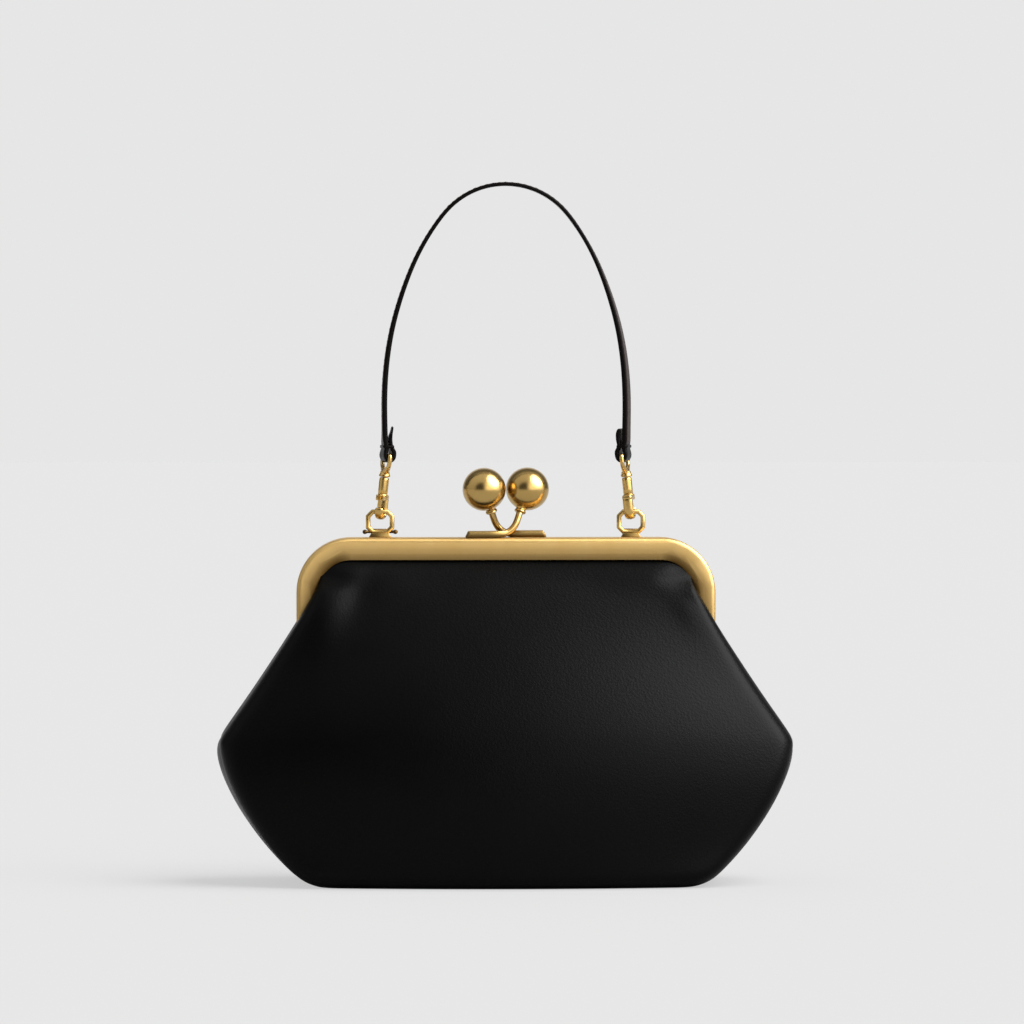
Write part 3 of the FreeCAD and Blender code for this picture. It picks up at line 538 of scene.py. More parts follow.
def gussetGrid(name, side, rows, bulged, inward=0.0):
    # the bag's narrow end: bulged below the belly, folded in above it
    columns = 17

    def place(column, row):
        z, inset = rows[row]
        width, inner, roll, slope = panelEdge(z, inset, side)
        seam = faceDepth(side * inner, max(z, bag["baseRoll"])) - inset - roll * cos(slope)
        share = 2 * column / (columns - 1) - 1
        fold = smoothStep(bag["foldFoot"], bag["gussetTop"], z)
        bulge = bulged * (1 - share * share) * (1 - fold)
        crease = bag["gussetFold"] * fold * max(0.0, cos(share * pi / 2)) ** bag["foldRound"]
        return side * (width - bag["seamTuck"] - inward + bulge - crease), side * seam * share, z

    return shapedGrid(name, columns, len(rows), place)


gussetRows = [row for row in panelLevels(False) if row[0] < bag["gussetTop"] - 1] + [(bag["gussetTop"], 0.0)]
for side, hand in reversed(hands):
    piece = gussetGrid("gussetLeather" + hand.title(), side, gussetRows, bag["gussetBulge"][side])
    thicken(piece, (side, 0, 0), bag["thickness"])
    fitPiece(piece, "bag_leather", "bag_body", "gusset_" + hand)


def floorGrid(name, z, inset):
    # a flat piece that fills the bag's outline near its base
    columns, rows = 21, 9
    width = panelEdge(0.0, inset, 1)[0]

    def place(column, row):
        x, across = width * (2 * column / (columns - 1) - 1), 2 * row / (rows - 1) - 1
        beyond = max(0.0, abs(x) - width + bag["edgeRoll"])
        rounding = bag["edgeRoll"] - sqrt(bag["edgeRoll"] ** 2 - beyond ** 2)
        return x, across * (faceDepth(x, bag["baseRoll"]) - inset - rounding), z

    return shapedGrid(name, columns, rows, place)


piece = floorGrid("baseLeather", bag["baseZ"], bag["baseInset"])
thicken(piece, (0, 0, -1), bag["baseThickness"])
fitPiece(piece, "bag_leather", "bag_body", "base_panel")
print("leather bag made")


# Lining: cloth glued to the leather, one sheet to each panel and one round the base and the ends

cloth = {"inset": 2.6, "floorInset": 5.6, "endInset": 2.2, "thickness": 0.6, "foot": 6.5, "top": 133.0,
         "floor": 4.3, "gussetTop": 82.0, "bulge": 1.2, "wrap": 0.45}


def liningPanel(facing, half):
    rows = [(z, cloth["inset"]) for z, _ in panelLevels(True) if cloth["foot"] < z < cloth["top"]]
    piece = panelSheet("lining" + half.title(), facing, rows, "lining_cloth", cloth["thickness"], 1,
                       cloth["wrap"])
    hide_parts(half + "_upper_lining")


def liningBase():
    rows = [(z, cloth["inset"]) for z, _ in panelLevels(False) if cloth["floor"] < z < cloth["gussetTop"]]
    ends = []
    for side in (1, -1):
        ends.append(gussetGrid("liningEnd", side, rows, cloth["bulge"], cloth["endInset"]))
        thicken(ends[-1], (side, 0, 0), cloth["thickness"], 1)
    piece = floorGrid("liningBase", cloth["floor"], cloth["floorInset"])
    thicken(piece, (0, 0, -1), cloth["thickness"], 1)
    joinPieces("liningBase", [piece] + ends)
    fitPiece(piece, "lining_cloth", "bag_body", "body_lining")


for facing, half in halves:
    liningPanel(facing, half)
liningBase()
print("lining made")


# Strap: one flat leather band, looped round each hook's eye and held by a keeper

strap = {
    "width": 9.0, "thickness": 2.2, "crownThickness": 1.6, "thinFrom": 195.0, "thinTo": 275.0,
    "edge": 0.55, "middleY": 3.45,
    "legX": 49.567, "legTop": 187.44, "legSteps": (183.5, 179.8, 177.2), "archFoot": 215.0,
    "arcs": [(0.0, 248.83, 31.8, 0, 52), (-49.8, 209.92, 95.0, 52, 68), (-105.43, 187.44, 155.0, 68, 90)],
    "loopX": 47.306, "loopZ": 171.9, "loopRadius": 1.8, "loopThickness": 1.75, "loopHang": 1.3,
    "drawIn": 1.0, "drawFoot": 177.0, "drawHead": 228.0,  # the legs stand a little further in at their feet
    # how far the band is turned about its upright line, past this x: height, degrees
    "twistFrom": 12.0,
    "twist": {1: [(172, -15), (178, -13), (200, -12), (240, -6), (268, 0)],
              -1: [(172, 13), (175, 9), (179, 3), (190, 1.5), (225, 0)]},
    # the middle line from the leg to the loop and in the tail after it: x, height, thickness;
    # the two tails are cut to different lengths
    "neck": [(48.35, 175.6, 2.0), (48.35, 174.5, 1.9), (48.8, 173.2, 1.85)],
    "tail": {
        1: [(45.3, 173.2, 1.9), (46.15, 174.6, 1.6), (46.3, 175.8, 1.6), (45.95, 177.4, 1.8),
            (45.75, 179.4, 1.9), (45.85, 181.0, 1.8), (46.15, 182.0, 1.3), (46.3, 182.4, 0.7)],
        -1: [(45.3, 173.2, 1.8), (46.2, 174.6, 1.5), (46.45, 175.8, 1.5), (46.5, 177.6, 1.5),
             (46.3, 179.4, 1.4), (45.9, 180.8, 0.9), (45.6, 182.2, 0.8), (45.4, 183.4, 0.7)]},
    "brownFacing": (0.55, 0.9),  # from a face turned aside to one turned out
    "stitchPitch": 2.5, "stitchLength": 1.6, "stitchIn": 1.5, "stitchRadius": 0.22, "stitchSunk": 0.18,
    "stitchFoot": 178.5,
    "keeperZ": 175.2, "keeperHeight": 1.2, "keeperWall": 0.45, "keeperX": (45.15, 50.0), "keeperHalf": 5.0,
    # the keeper's outline is nearly square; its section is given as (inward, up) shares
    "keeperRound": 0.35, "keeperSteps": 36,
    "keeperSection": [(0.0, -0.6), (0.0, 0.6), (0.3, 1.0), (0.7, 1.0),
                      (1.0, 0.6), (1.0, -0.6), (0.7, -1.0), (0.3, -1.0)],
}


def strapHalf(side):
    # one half of the strap's middle line, crown to tail: x, z, and its thickness there
    line = []
    for centreX, centreZ, radius, start, end in strap["arcs"]:
        steps = max(4, round(radians(end - start) * radius / 4))
        for n in range(steps):
            angle = radians(start + (end - start) * n / steps)
            z = centreZ + radius * cos(angle)
            thin = smoothStep(strap["thinFrom"], strap["thinTo"], z)
            thick = strap["thickness"] + (strap["crownThickness"] - strap["thickness"]) * thin
            line.append((centreX + radius * sin(angle), z, thick))
    line += [(strap["legX"], z, strap["thickness"]) for z in (strap["legTop"], *strap["legSteps"])]
    line = [(x - strap["drawIn"] * (1 - smoothStep(strap["drawFoot"], strap["drawHead"], z)), z, thick)
            for x, z, thick in line]
    line += strap["neck"]
    for angle in range(0, 181, 20):
        turn, reach = radians(angle), strap["loopRadius"]
        x, z = strap["loopX"] + reach * cos(turn), strap["loopZ"] - reach * sin(turn) * strap["loopHang"]
        line.append((x, z, strap["loopThickness"]))
    return [(side * x, z, thick) for x, z, thick in line + strap["tail"][side]]


def twisted(x, y, z):
    # the strap is turned about its upright line, less and less towards the crown
    side = 1 if x > 0 else -1
    turn = radians(alongCurve(strap["twist"][side], z)) if abs(x) > strap["twistFrom"] else 0.0
    axis = side * strap["loopX"]
    across, along = x - axis, y - strap["middleY"]
    return (axis + across * cos(turn) - along * sin(turn),
            strap["middleY"] + across * sin(turn) + along * cos(turn), z)


def strapFrames():
    # each step's middle point, its outward direction in the plane of the arch, and the thickness
    line = list(reversed(strapHalf(-1))) + strapHalf(1)[1:]
    frames = []
    for n, (x, z, thick) in enumerate(line):
        x0, z0, _ = line[max(0, n - 1)]
        x1, z1, _ = line[min(len(line) - 1, n + 1)]
        run = hypot(x1 - x0, z1 - z0)
        frames.append((x, z, -(z1 - z0) / run, (x1 - x0) / run, thick))
    return frames


def strapSection(thick):
    # a flat band's outline as (out, across), with rounded, painted edges
    half, out, edge = strap["width"] / 2, thick / 2, min(strap["edge"], thick * 0.3)
    quarter = [(out, 0), (out, half * 0.5), (out, half - edge), (out - edge * 0.4, half - edge * 0.3)]
    upper = quarter + [(0, half)] + [(-o, a) for o, a in reversed(quarter)]
    return upper + [(o, -a) for o, a in reversed(upper[1:-1])]


def strapBrown(spot, normal):
    # the outer face is a dark brown, the edges and the inner face are inked black
    away = Vector((spot.x, 0, max(0.0, spot.z - strap["archFoot"]))).normalized()
    leg = smoothStep(strap["keeperZ"], strap["stitchFoot"], spot.z)
    return smoothStep(*strap["brownFacing"], normal.dot(away)) * leg


def makeStrap():
    rings = []
    for x, z, outX, outZ, thick in strapFrames():
        rings.append([twisted(x + outX * out, strap["middleY"] + across, z + outZ * out)
                      for out, across in strapSection(thick)])
    piece = sweptPiece("strapBand", rings)
    smoothShade(piece, 50)
    paint(piece, "browned", strapBrown)
    fitPiece(piece, "strap_leather", "handle", "strap")


def makeStitches():
    # one stitch, copied along both edges of the strap's outer face
    deselectAll()
    bpy.ops.mesh.primitive_uv_sphere_add(segments=8, ring_count=5, radius=strap["stitchRadius"] * mm)
    stitch = named(bpy.context.object, "stitch")
    stitch.scale = (0.8, 1.0, strap["stitchLength"] / 2 / strap["stitchRadius"])
    bpy.ops.object.transform_apply()
    arch = [step for step in strapFrames() if step[1] > strap["legTop"]
            or step[1] > strap["stitchFoot"] and abs(step[0]) > strap["loopX"]]
    copies, gone, due = [], 0.0, 0.0
    for (x0, z0, outX, outZ, thick), (x1, z1, *_) in zip(arch, arch[1:]):
        run = hypot(x1 - x0, z1 - z0)
        while due < gone + run:
            t = (due - gone) / run
            out = thick / 2 - strap["stitchSunk"]
            x, z = x0 + (x1 - x0) * t + outX * out, z0 + (z1 - z0) * t + outZ * out
            for edge in (-1, 1):
                across = strap["middleY"] + edge * (strap["width"] / 2 - strap["stitchIn"])
                spot = Vector(twisted(x, across, z))
                ahead = Vector(twisted(x + (x1 - x0) / run, across, z + (z1 - z0) / run))
                turn = (ahead - spot).to_track_quat("Z", "Y").to_matrix()
                copies.append(newObject("stitch", stitch.data.copy()))
                copies[-1].matrix_world = Matrix.Translation(spot * mm) @ turn.to_4x4()
            due += strap["stitchPitch"]
        gone += run
    bpy.data.objects.remove(stitch)
    piece = joinPieces("strapStitching", copies)
    bpy.ops.object.transform_apply()
    smoothShade(piece, 60)
    fitPiece(piece, "strap_leather", "handle", material=thread)


def makeKeeper(side, hand):
    # a narrow band sewn round the leg and the tail
    left, right = strap["keeperX"]
    half, wall, high = (right - left) / 2, strap["keeperWall"], strap["keeperHeight"] / 2
    power, steps = strap["keeperRound"], strap["keeperSteps"]
    rings = []
    for n in range(steps):
        angle = 2 * pi * n / steps
        outX, outY = (copysign(abs(part) ** power, part) for part in (cos(angle), sin(angle)))
        ring = []
        for inward, up in strap["keeperSection"]:
            x = (left + right) / 2 + outX * (half - inward * wall)
            y = strap["middleY"] + outY * (strap["keeperHalf"] - inward * wall)
            ring.append(twisted(side * x, y, strap["keeperZ"] + up * high))
        rings.append(ring)
    count = len(strap["keeperSection"])
    piece = shapedGrid("keeper" + hand.title(), count + 1, steps + 1,
                       lambda column, row: rings[row % steps][column % count])
    tidyMesh(piece)
    subdivide(piece)
    smoothShade(piece, 60)
    fitPiece(piece, "strap_leather", "handle", "strap_keeper_" + hand)


makeStrap()
makeStitches()
for side, hand in hands:
    makeKeeper(side, hand)
print("strap made")


# Hooks: turned barrel, bent shank and cheeks for the gate; the eye swivels on top

hook = {
    "x": 50.1, "y": 3.45, "z": 149.05, "lean": 6.0, "twist": -15.0, "eyeTwist": -14.0,
    # turned profiles are given as (radius, height)
    "barrel": [
        (1.2, 5.7), (1.8, 5.9), (2.08, 6.3), (2.12, 6.75), (2.0, 7.0), (1.88, 7.1), (1.88, 7.35), (1.96, 7.5),
        (1.98, 9.0), (1.98, 12.6), (1.95, 13.2), (1.85, 13.6), (1.5, 13.8)],
    "shankAcross": 2.95, "shankHalf": (2.0, 1.0), "shankSteps": (6.2, 4.5, 2.5), "bendZ": 0.6, "tipZ": 1.7,
    "tipSlim": 0.55, "bendSlim": 0.12,
    "block": (4.0, 4.9, 2.5), "blockAcross": -1.45, "blockHeight": 5.75, "blockEdge": 0.95,
    "cheek": (0.9, 3.4, 2.3), "cheekAcross": 2.1, "cheekHeight": 5.7, "cheekOut": 1.3, "cheekEdge": 0.35,
    "collar": [
        (0.7, 13.3), (0.72, 14.0), (1.9, 14.02), (2.22, 14.25), (2.28, 14.8), (2.05, 15.15), (1.9, 15.5),
        (2.0, 15.8), (1.8, 16.2), (1.2, 16.5)],
    # half of the eye's wire: across, height, radius
    "eye": [
        (0.7, 16.2, 1.2), (1.9, 16.4, 1.3), (3.2, 17.2, 1.05), (5.0, 18.4, 0.9), (5.6, 19.8, 0.88),
        (5.6, 21.4, 0.88), (5.5, 22.9, 0.88), (3.6, 22.85, 0.85), (0.0, 22.8, 0.85)],
}


def hookSpot(side, u, v, h, twist):
    # the hook's own frame: u and v across it, h up it from the ring's bar
    lean, turn = radians(hook["lean"]), radians(twist)
    a = u * cos(turn) - v * sin(turn)
    b = u * sin(turn) + v * cos(turn)
    x = hook["x"] + a * cos(lean) - h * sin(lean)
    return side * x, hook["y"] + side * b, hook["z"] + a * sin(lean) + h * cos(lean)


def hookMatrix(side, twist):
    # the same frame as a turn of a piece that was made at the origin
    origin = Vector(hookSpot(side, 0, 0, 0, twist))
    axes = [Vector(hookSpot(side, *axis, twist)) - origin for axis in ((1, 0, 0), (0, 1, 0), (0, 0, 1))]
    return Matrix(axes).transposed(), origin


def shankRings(side):
    # the flat hook: down the front, round under the ring's bar, and up to its tip
    reach, bend = hook["shankAcross"], hook["bendZ"]
    wide, thick = hook["shankHalf"]
    line = [(-reach, h, 0.0) for h in hook["shankSteps"]]
    for n in range(13):
        angle = pi * n / 12
        line.append((-reach * cos(angle), bend - reach * sin(angle), angle))
    line += [(reach, bend + (hook["tipZ"] - bend) * share, pi) for share in (0.6, 1.0)]
    rings = []
    for n, (v, h, angle) in enumerate(line):
        slim = 1.0 - hook["bendSlim"] * smoothStep(0, pi, angle)
        if n == len(line) - 1:
            slim = hook["tipSlim"]
        ring = []
        for step in range(16):
            a = 2 * pi * step / 16
            out = thick * sin(a) * slim
            ring.append(hookSpot(side, wide * cos(a) * slim, v - out * cos(angle),
                                 h - out * sin(angle), hook["twist"]))
        rings.append(ring)
    return rings


def makeHook(side, hand):
    spin, origin = hookMatrix(side, hook["twist"])
    middle = (0, hook["blockAcross"], hook["blockHeight"])
    pieces = [turnedPiece("barrel", hook["barrel"]),
              blockPiece("block", hook["block"], middle, hook["blockEdge"])]
    for out in (-1, 1):
        middle = (out * hook["cheekOut"], hook["cheekAcross"], hook["cheekHeight"])
        pieces.append(blockPiece("cheek", hook["cheek"], middle, hook["cheekEdge"]))
    for piece in pieces:
        placePiece(piece, spin, origin)
    pieces.append(sweptPiece("shank", shankRings(side)))
    piece = joinPieces("hook" + hand.title(), pieces)
    smoothShade(piece)
    fitPiece(piece, "fitting_brass", hand + "_hook", "hook_body_" + hand)


def makeEye(side, hand):
    twist = side * hook["eyeTwist"]
    collar = turnedPiece("collar", hook["collar"])
    placePiece(collar, *hookMatrix(side, twist))
    half = hook["eye"]
    path = half + [(-v, h, r) for v, h, r in reversed(half[:-1])]
    bail = wirePiece("bail", [hookSpot(side, 0, v, h, twist) for v, h, r in path], [r for v, h, r in path])
    piece = joinPieces("eye" + hand.title(), [collar, bail])
    smoothShade(piece)
    fitPiece(piece, "fitting_brass", "handle", "hook_eye_" + hand)


for make in (makeHook, makeEye):
    for side, hand in hands:
        make(side, hand)
print("hooks made")


# Kiss clasp: each half is a flat bar on the frame that bends up into a rod, with a ball on its end

clasp = {
    "barSteps": (-16.6, -16.25, -15.0, -12.0, -8.0, -5.0), "barHalf": (2.5, 1.4), "barY": -3.45,
    "barZ": 140.2,
    "endShrink": 0.8, "barSlant": 1.4, "slantRings": 3,  # the bar's end slants back over its first rings
    # the bar narrows to the round rod
    "rodRadius": 1.38, "thinning": (-0.2, 0.45), "barSquare": 7.0, "rodSquare": 2.0,
    # painted shade in brown on the bar's lower half, and how soft its edge is
    "barPaintedShade": 0.85, "paintedShadeBlur": 0.4,
    "straightEnd": -3.0, "bend": (2.74, -3.46, 140.2), "way": (0.3017, 0.3042, 0.9036), "bendReach": 6.5,
    "ball": (8.75, 2.6, 158.2), "ballRadius": 8.65, "ballSteps": 44, "ballSides": 72, "ballFlat": 0.04,
    "rodStop": 8.6,
    "collar": [
        (1.3, -10.5), (1.95, -10.45), (2.3, -10.2), (2.36, -9.8), (2.2, -9.45), (1.95, -9.2), (1.95, -8.9),
        (2.25, -8.6), (2.3, -8.45)],
}


def armLine():
    # points along one arm's middle, with each section's half sizes and squareness
    bend, way = Vector(clasp["bend"]), Vector(clasp["way"])
    line = []
    bar, rod = clasp["barSquare"], clasp["rodSquare"]
    for x in clasp["barSteps"]:
        line.append((Vector((x, clasp["barY"], clasp["barZ"])), *clasp["barHalf"], bar))
    start, end = Vector((clasp["straightEnd"], clasp["barY"], clasp["barZ"])), bend + way * clasp["bendReach"]
    for n in range(13):
        t = n / 12
        spot = start * (1 - t) ** 2 + bend * 2 * t * (1 - t) + end * t * t
        thin = smoothStep(*clasp["thinning"], t)
        wide, high = (h + (clasp["rodRadius"] - h) * thin for h in clasp["barHalf"])
        line.append((spot, wide, high, bar + (rod - bar) * thin))
    stop = Vector(clasp["ball"]) - way * clasp["rodStop"]
    for t in (0.5, 1.0):
        line.append((end + (stop - end) * t, clasp["rodRadius"], clasp["rodRadius"], rod))
    return line


def claspArm(facing, half):
    line = armLine()
    rings = []
    for n, (spot, wide, high, square) in enumerate(line):
        way = (line[min(n + 1, len(line) - 1)][0] - line[max(n - 1, 0)][0]).normalized()
        across = (Vector((0, 1, 0)) - way * way.y).normalized()
        up = way.cross(across)
        shrink = clasp["endShrink"] if n == 0 else 1.0
        ring = []
        for step in range(24):
            angle = 2 * pi * (step + 0.5) / 24
            a, b = (copysign(abs(part) ** (2 / square), part) * size * shrink
                    for part, size in ((cos(angle), wide), (sin(angle), high)))
            point = spot + across * a + up * b
            slant = max(0.0, 1 - n / clasp["slantRings"])
            point.x += clasp["barSlant"] * (b / high + 1) / 2 * slant
            ring.append((facing * point.x, facing * point.y, point.z))
        rings.append(ring)
    piece = sweptPiece("claspArm" + half.title(), rings)
    smoothShade(piece)
    # painted shade: the bar's lower half, which faces down, darkened brown
    upper, lower = clasp["barZ"] + clasp["paintedShadeBlur"], clasp["barZ"] - clasp["paintedShadeBlur"]
    paint(piece, "paintedShade", lambda spot, normal: clasp["barPaintedShade"] * smoothStep(upper, lower, spot.z))
    fitPiece(piece, "clasp_brass", half + "_frame", half + "_clasp_arm")


def claspBall(facing, half):
    radius, steps = clasp["ballRadius"], clasp["ballSteps"]
    start = asin(clasp["collar"][-1][0] / radius)
    turns = [start + (pi - clasp["ballFlat"] - start) * n / steps for n in range(1, steps + 1)]
    profile = clasp["collar"] + [(radius * sin(a), -radius * cos(a)) for a in turns]
    piece = turnedPiece("claspBall" + half.title(), profile, clasp["ballSides"])
    way = Vector((facing * clasp["way"][0], facing * clasp["way"][1], clasp["way"][2]))
    x, y, z = clasp["ball"]
    placePiece(piece, way.to_track_quat("Z", "Y").to_matrix(), (facing * x, facing * y, z))
    smoothShade(piece)
    fitPiece(piece, "clasp_brass", half + "_frame", half + "_clasp_ball")


for make in (claspArm, claspBall):
    for facing, half in halves:
        make(facing, half)
print("clasp made")


# Frame, rings and gates: the CAD shapes with their edges eased

cadMesh = {"mergeMm": 0.002, "flatDegrees": 1.5, "sharpDegrees": 32, "shadeDegrees": 35}

frameShape = {
    "faceY": 6.7, "faceArea": 500, "rollWidth": 2.2, "rollDepth": 0.6, "rollSupport": 0.5, "near": 0.05,
    "edge": 0.4,
    # painted shade and painted reflection of the dark leather, in brown beside it: its width, how much wider
    # it is down the legs, and where it is strong
    "paintedShadeWidth": 7.5, "paintedShadeLeg": 6.0, "legTop": 126, "legFoot": 112,
    "paintedShadeMost": 1.0, "paintedShadeLeast": 0.02, "paintedShadeFrom": 54.0, "paintedShadeTo": 68.0,
}


def mergedCopy(node, name):
    # a copy of a CAD mesh with its loose triangles joined into faces
    piece = named(newObject(name, nodes[node].data.copy()), name)
    pick(piece)
    bpy.ops.mesh.customdata_custom_splitnormals_clear()
    editAll(piece)
    bpy.ops.mesh.remove_doubles(threshold=cadMesh["mergeMm"] * mm)
    bpy.ops.mesh.dissolve_limited(angle_limit=radians(cadMesh["flatDegrees"]))
    objectMode()
    return piece


def easeEdges(piece, radius, segments=3):
    finishWith(piece, "BEVEL", width=radius * mm, segments=segments, limit_method="ANGLE",
               angle_limit=radians(cadMesh["sharpDegrees"]))
    smoothShade(piece, cadMesh["shadeDegrees"])


def fromMouth(spot):
    # how far a point lies from the frame's inner outline
    x, z = abs(spot.x), spot.z
    if z < mouth["cornerZ"]:
        return abs(x - mouth["innerX"])
    if x > mouth["cornerX"]:
        return abs(hypot(x - mouth["cornerX"], z - mouth["cornerZ"]) - mouth["cornerRadius"])
    return abs(z - mouth["height"])


def framePaintedShade(spot, normal):
    # painted shade and painted reflection of the dark leather in brown beside it, mostly round the corners
    # and down the legs
    leg = smoothStep(frameShape["legTop"], frameShape["legFoot"], spot.z)
    near = 1 - smoothStep(0, frameShape["paintedShadeWidth"] + frameShape["paintedShadeLeg"] * leg, fromMouth(spot))
    corner = smoothStep(frameShape["paintedShadeFrom"], frameShape["paintedShadeTo"], abs(spot.x))
    least = frameShape["paintedShadeLeast"]
    return near * (least + (frameShape["paintedShadeMost"] - least) * corner)


def makeFrame(facing, half):
    # the stamped strip's inner edge is rolled in towards the leather
    piece = mergedCopy(half + "_frame", "frame" + half.title())
    for face in piece.data.polygons:
        face.select = face.normal.y * facing < -0.99 and face.area > frameShape["faceArea"] * mm * mm
    for part in (piece.data.vertices, piece.data.edges):
        for item in part:
            item.select = False
    editMode()
    bpy.ops.mesh.select_mode(type="FACE")
    bpy.ops.mesh.inset(thickness=frameShape["rollWidth"] * mm, use_even_offset=True)
    bpy.ops.mesh.inset(thickness=frameShape["rollSupport"] * mm, use_even_offset=True)
    bpy.ops.mesh.select_all(action="DESELECT")
    bpy.ops.mesh.select_mode(type="VERT")
    objectMode()
    for vertex in piece.data.vertices:
        fromFace = abs(-facing * vertex.co.y / mm - frameShape["faceY"])
        vertex.select = max(fromFace, fromMouth(vertex.co / mm)) < frameShape["near"]
    editMode()
    bpy.ops.transform.translate(value=(0, facing * frameShape["rollDepth"] * mm, 0))
    objectMode()
    easeEdges(piece, frameShape["edge"])
    # brown painted shade and painted reflection of the leather along the frame's inner edge
    paint(piece, "paintedShade", framePaintedShade)
    fitPiece(piece, "frame_brass", half + "_frame", half + "_frame")


for facing, half in halves:
    makeFrame(facing, half)

# start of the node's name, piece, end of the body's name, edge radius, steps of the edge
for node, name, body, radius, steps in (
        ("ring_", "ring", "_ring", 0.5, 2),
        ("hook_gate_", "gate", "_gate", 0.3, 3)):
    for side, hand in hands:
        piece = mergedCopy(node + hand, name + hand.title())
        easeEdges(piece, radius, steps)
        fitPiece(piece, "fitting_brass", hand + body, node + hand)


# Ring lugs: a saddle soldered to the frame, with a low wall behind the ring's bar

lug = {"x": 50.4, "y": 3.45, "baseWide": {1: 7.8, -1: 8.8}, "base": (5.0, 1.75), "baseZ": 139.65,
       "taper": (0.84, 0.85), "wall": (5.6, 1.1, 2.9), "wallY": 5.15, "wallZ": 140.7, "edge": 0.3,
       "paintedShadeShare": 0.5, "pinHalf": 6.1, "pinZ": 140.95, "pinRadius": 0.55,
       "knobRadius": 0.95, "knobFlat": 0.35}


def makeLug(side, hand):
    x, y, top = side * lug["x"], lug["y"], lug["baseZ"] * mm
    base = blockPiece("saddle", (lug["baseWide"][side], *lug["base"]), (x, y, lug["baseZ"]), lug["edge"])
    for vertex in base.data.vertices:
        vertex.select = vertex.co.z > top
    editMode()
    bpy.ops.transform.resize(value=(*lug["taper"], 1.0), center_override=(x * mm, y * mm, top))
    objectMode()
    wall = blockPiece("wall", lug["wall"], (x, lug["wallY"], lug["wallZ"]), lug["edge"])
    piece = joinPieces("lug" + hand.title(), [base, wall])
    smoothShade(piece, 35)
    # painted shade: the whole lug darkened brown, as it sits in shade under the ring's bar
    paint(piece, "paintedShade", lambda spot, normal: lug["paintedShadeShare"])
    fitPiece(piece, "fitting_brass", "back_frame", "ring_lug_" + hand)


def makeRingPin():
    # the left ring's pin stands out past the ring in two dark knobs
    half, thin, fat = lug["pinHalf"], lug["pinRadius"], lug["knobRadius"]
    knob = [(lug["knobFlat"], -half - fat), (0.75 * fat, -half - 0.7 * fat), (fat, -half),
            (0.75 * fat, -half + 0.7 * fat), (thin, -half + 0.95 * fat)]
    piece = turnedPiece("ringPinLeft", knob + [(r, -h) for r, h in reversed(knob)], 24)
    placePiece(piece, Matrix.Rotation(pi / 2, 3, "Y"), (-lug["x"], lug["y"], lug["pinZ"]))
    smoothShade(piece, 50)
    fitPiece(piece, "fitting_brass", "back_frame", material=darkBrass)


for side, hand in hands:
    makeLug(side, hand)
makeRingPin()

for node in nodes.values():
    node.data.materials[0] = finishes[node.data.materials[0].name.split(".")[0]]
print("metal dressed")


# Studio: pale seamless floor, a soft key from the right, and the camera

studio = {
    "grey": "#e6e6e6", "floorSize": 12.0, "floorRoughness": 0.9, "floorGlow": 0.68,
    "lens": 262.8, "sensor": 36, "distance": 3.0, "azimuth": -1.5, "elevation": 2.0,
    "targetX": 2.5, "targetZ": 149.0,
    "ambient": 0.36, "keyFrom": (0.49, -0.19, 0.85), "keyAngle": 46.0, "keyPower": 2.5,
    "boxFrom": (0.70, -0.30, 0.65), "boxAngle": 60.0, "boxPower": 7.0,
    # what shiny surfaces mirror: from front to back, and from the floor up
    "depthwise": [
        (0.01, 0.5), (0.2, 0.62), (0.55, 0.65), (0.68, 0.16), (0.86, 0.14), (0.93, 0.79), (0.99, 0.79)],
    "upwards": [(0.01, 1.0), (0.5, 1.0), (0.75, 1.25), (0.99, 1.5)],
    # and two broad patches: the way there, its outer and inner cosine, and its grey
    "patches": [((-0.30, -0.95, 0.08), 0.76, 0.94, 0.08), ((0.75, -0.65, 0.12), 0.55, 0.93, 2.8)],
}


def makeFloor():
    deselectAll()
    bpy.ops.mesh.primitive_plane_add(size=studio["floorSize"])
    floor = named(bpy.context.object, "studioFloor")
    # seamless paper: matt, with no mirror in it
    material, tree, shader = newMaterial("paperSweep")
    setInputs(shader, {
        "Base Color": studio["grey"], "Roughness": studio["floorRoughness"], "Specular IOR Level": 0.0})
    # the camera sees part of the paper at its own grey, so the shadow on it stays light
    seen = addNode(tree, "LightPath").outputs["Is Camera Ray"]
    part = addNode(tree, "Math", {0: seen, 1: studio["floorGlow"]}, operation="MULTIPLY")
    glow = addNode(tree, "Emission", {"Color": studio["grey"]})
    both = addNode(tree, "MixShader", {0: part, 1: shader, 2: glow})
    setInputs(tree.nodes["Material Output"], {"Surface": both})
    floor.data.materials.append(material)


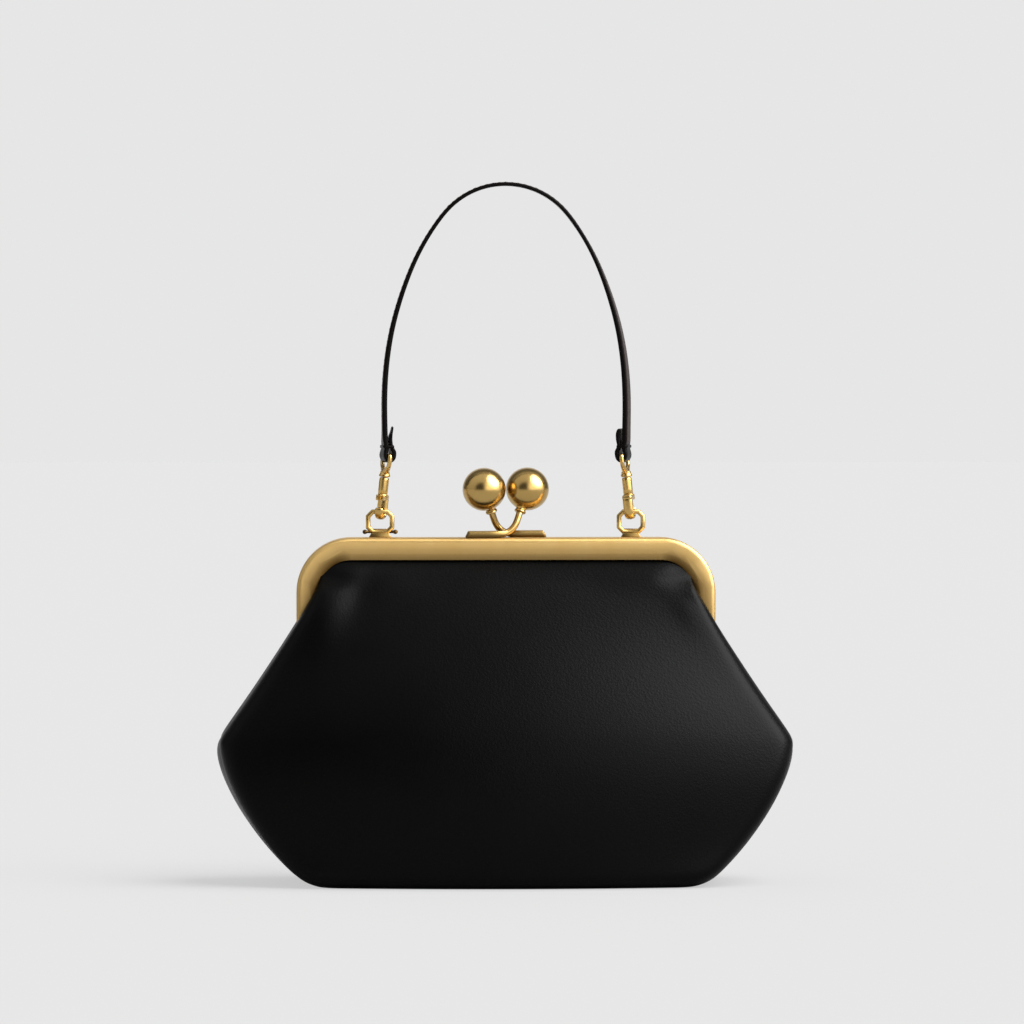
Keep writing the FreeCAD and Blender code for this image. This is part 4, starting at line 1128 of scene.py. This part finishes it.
def makeWorld():
    world = bpy.data.worlds.new("studioWorld")
    bpy.context.scene.world = world
    world.use_nodes = True
    tree = world.node_tree
    path = addNode(tree, "LightPath")
    way = addNode(tree, "TexCoord").outputs["Generated"]
    axes = addNode(tree, "SeparateXYZ", {"Vector": way})
    ramps = []
    for axis, stops in (("Y", "depthwise"), ("Z", "upwards")):
        share = addNode(tree, "MapRange", {"Value": axes.outputs[axis], "From Min": -1.0, "From Max": 1.0})
        ramps.append(addNode(tree, "ValToRGB", {"Fac": share}))
        shades = ramps[-1].color_ramp.elements
        for place, grey in studio[stops]:
            shades.new(place).color = (grey, grey, grey, 1)
        shades.remove(shades[0])
        shades.remove(shades[len(shades) - 1])
    room = addNode(tree, "Mix", {"Factor": 1.0, "A": ramps[0], "B": ramps[1]},
                   data_type="RGBA", blend_type="MULTIPLY")
    for toward, outer, inner, grey in studio["patches"]:
        near = addNode(tree, "VectorMath", {0: way, 1: Vector(toward).normalized()}, operation="DOT_PRODUCT")
        fade = addNode(tree, "MapRange", {
            "Value": near, "From Min": outer, "From Max": inner}, interpolation_type="SMOOTHSTEP")
        room = addNode(tree, "Mix", {"Factor": fade, "A": room, "B": (grey, grey, grey, 1)}, data_type="RGBA")
    shiny = addNode(tree, "Mix", {
        "Factor": path.outputs["Is Glossy Ray"], "A": (studio["ambient"],) * 3 + (1,), "B": room},
        data_type="RGBA")
    seen = addNode(tree, "Math", {
        0: path.outputs["Is Camera Ray"], 1: path.outputs["Is Transmission Ray"]}, operation="MAXIMUM")
    light = addNode(tree, "Mix", {"Factor": seen, "A": shiny, "B": studio["grey"]}, data_type="RGBA")
    setInputs(tree.nodes["Background"], {"Color": light})


def makeLamp(name, toward, angle, power):
    lamp = bpy.data.lights.new(name, "SUN")
    lamp.angle = radians(angle)
    lamp.energy = power
    lampObject = newObject(name, lamp)
    lampObject.rotation_euler = (-Vector(toward)).to_track_quat("-Z", "Y").to_euler()
    return lampObject


def makeCamera():
    lens = bpy.data.cameras.new("studioCamera")
    lens.lens = studio["lens"]
    lens.sensor_width = studio["sensor"]
    camera = newObject("studioCamera", lens)
    azimuth, elevation = radians(studio["azimuth"]), radians(studio["elevation"])
    target = Vector((studio["targetX"] * mm, 0, studio["targetZ"] * mm))
    way = Vector((sin(azimuth) * cos(elevation), -cos(azimuth) * cos(elevation), sin(elevation)))
    camera.location = target + way * studio["distance"]
    camera.rotation_euler = (-way).to_track_quat("-Z", "Y").to_euler()
    bpy.context.scene.camera = camera


makeFloor()
makeWorld()
# one very large soft light, high on the right: its fill, and the bright box that shiny surfaces mirror
makeLamp("keyLight", studio["keyFrom"], studio["keyAngle"], studio["keyPower"]).visible_glossy = False
makeLamp("softBox", studio["boxFrom"], studio["boxAngle"], studio["boxPower"]).visible_diffuse = False
makeCamera()
bpy.context.scene.view_settings.view_transform = "Standard"
print("studio made")
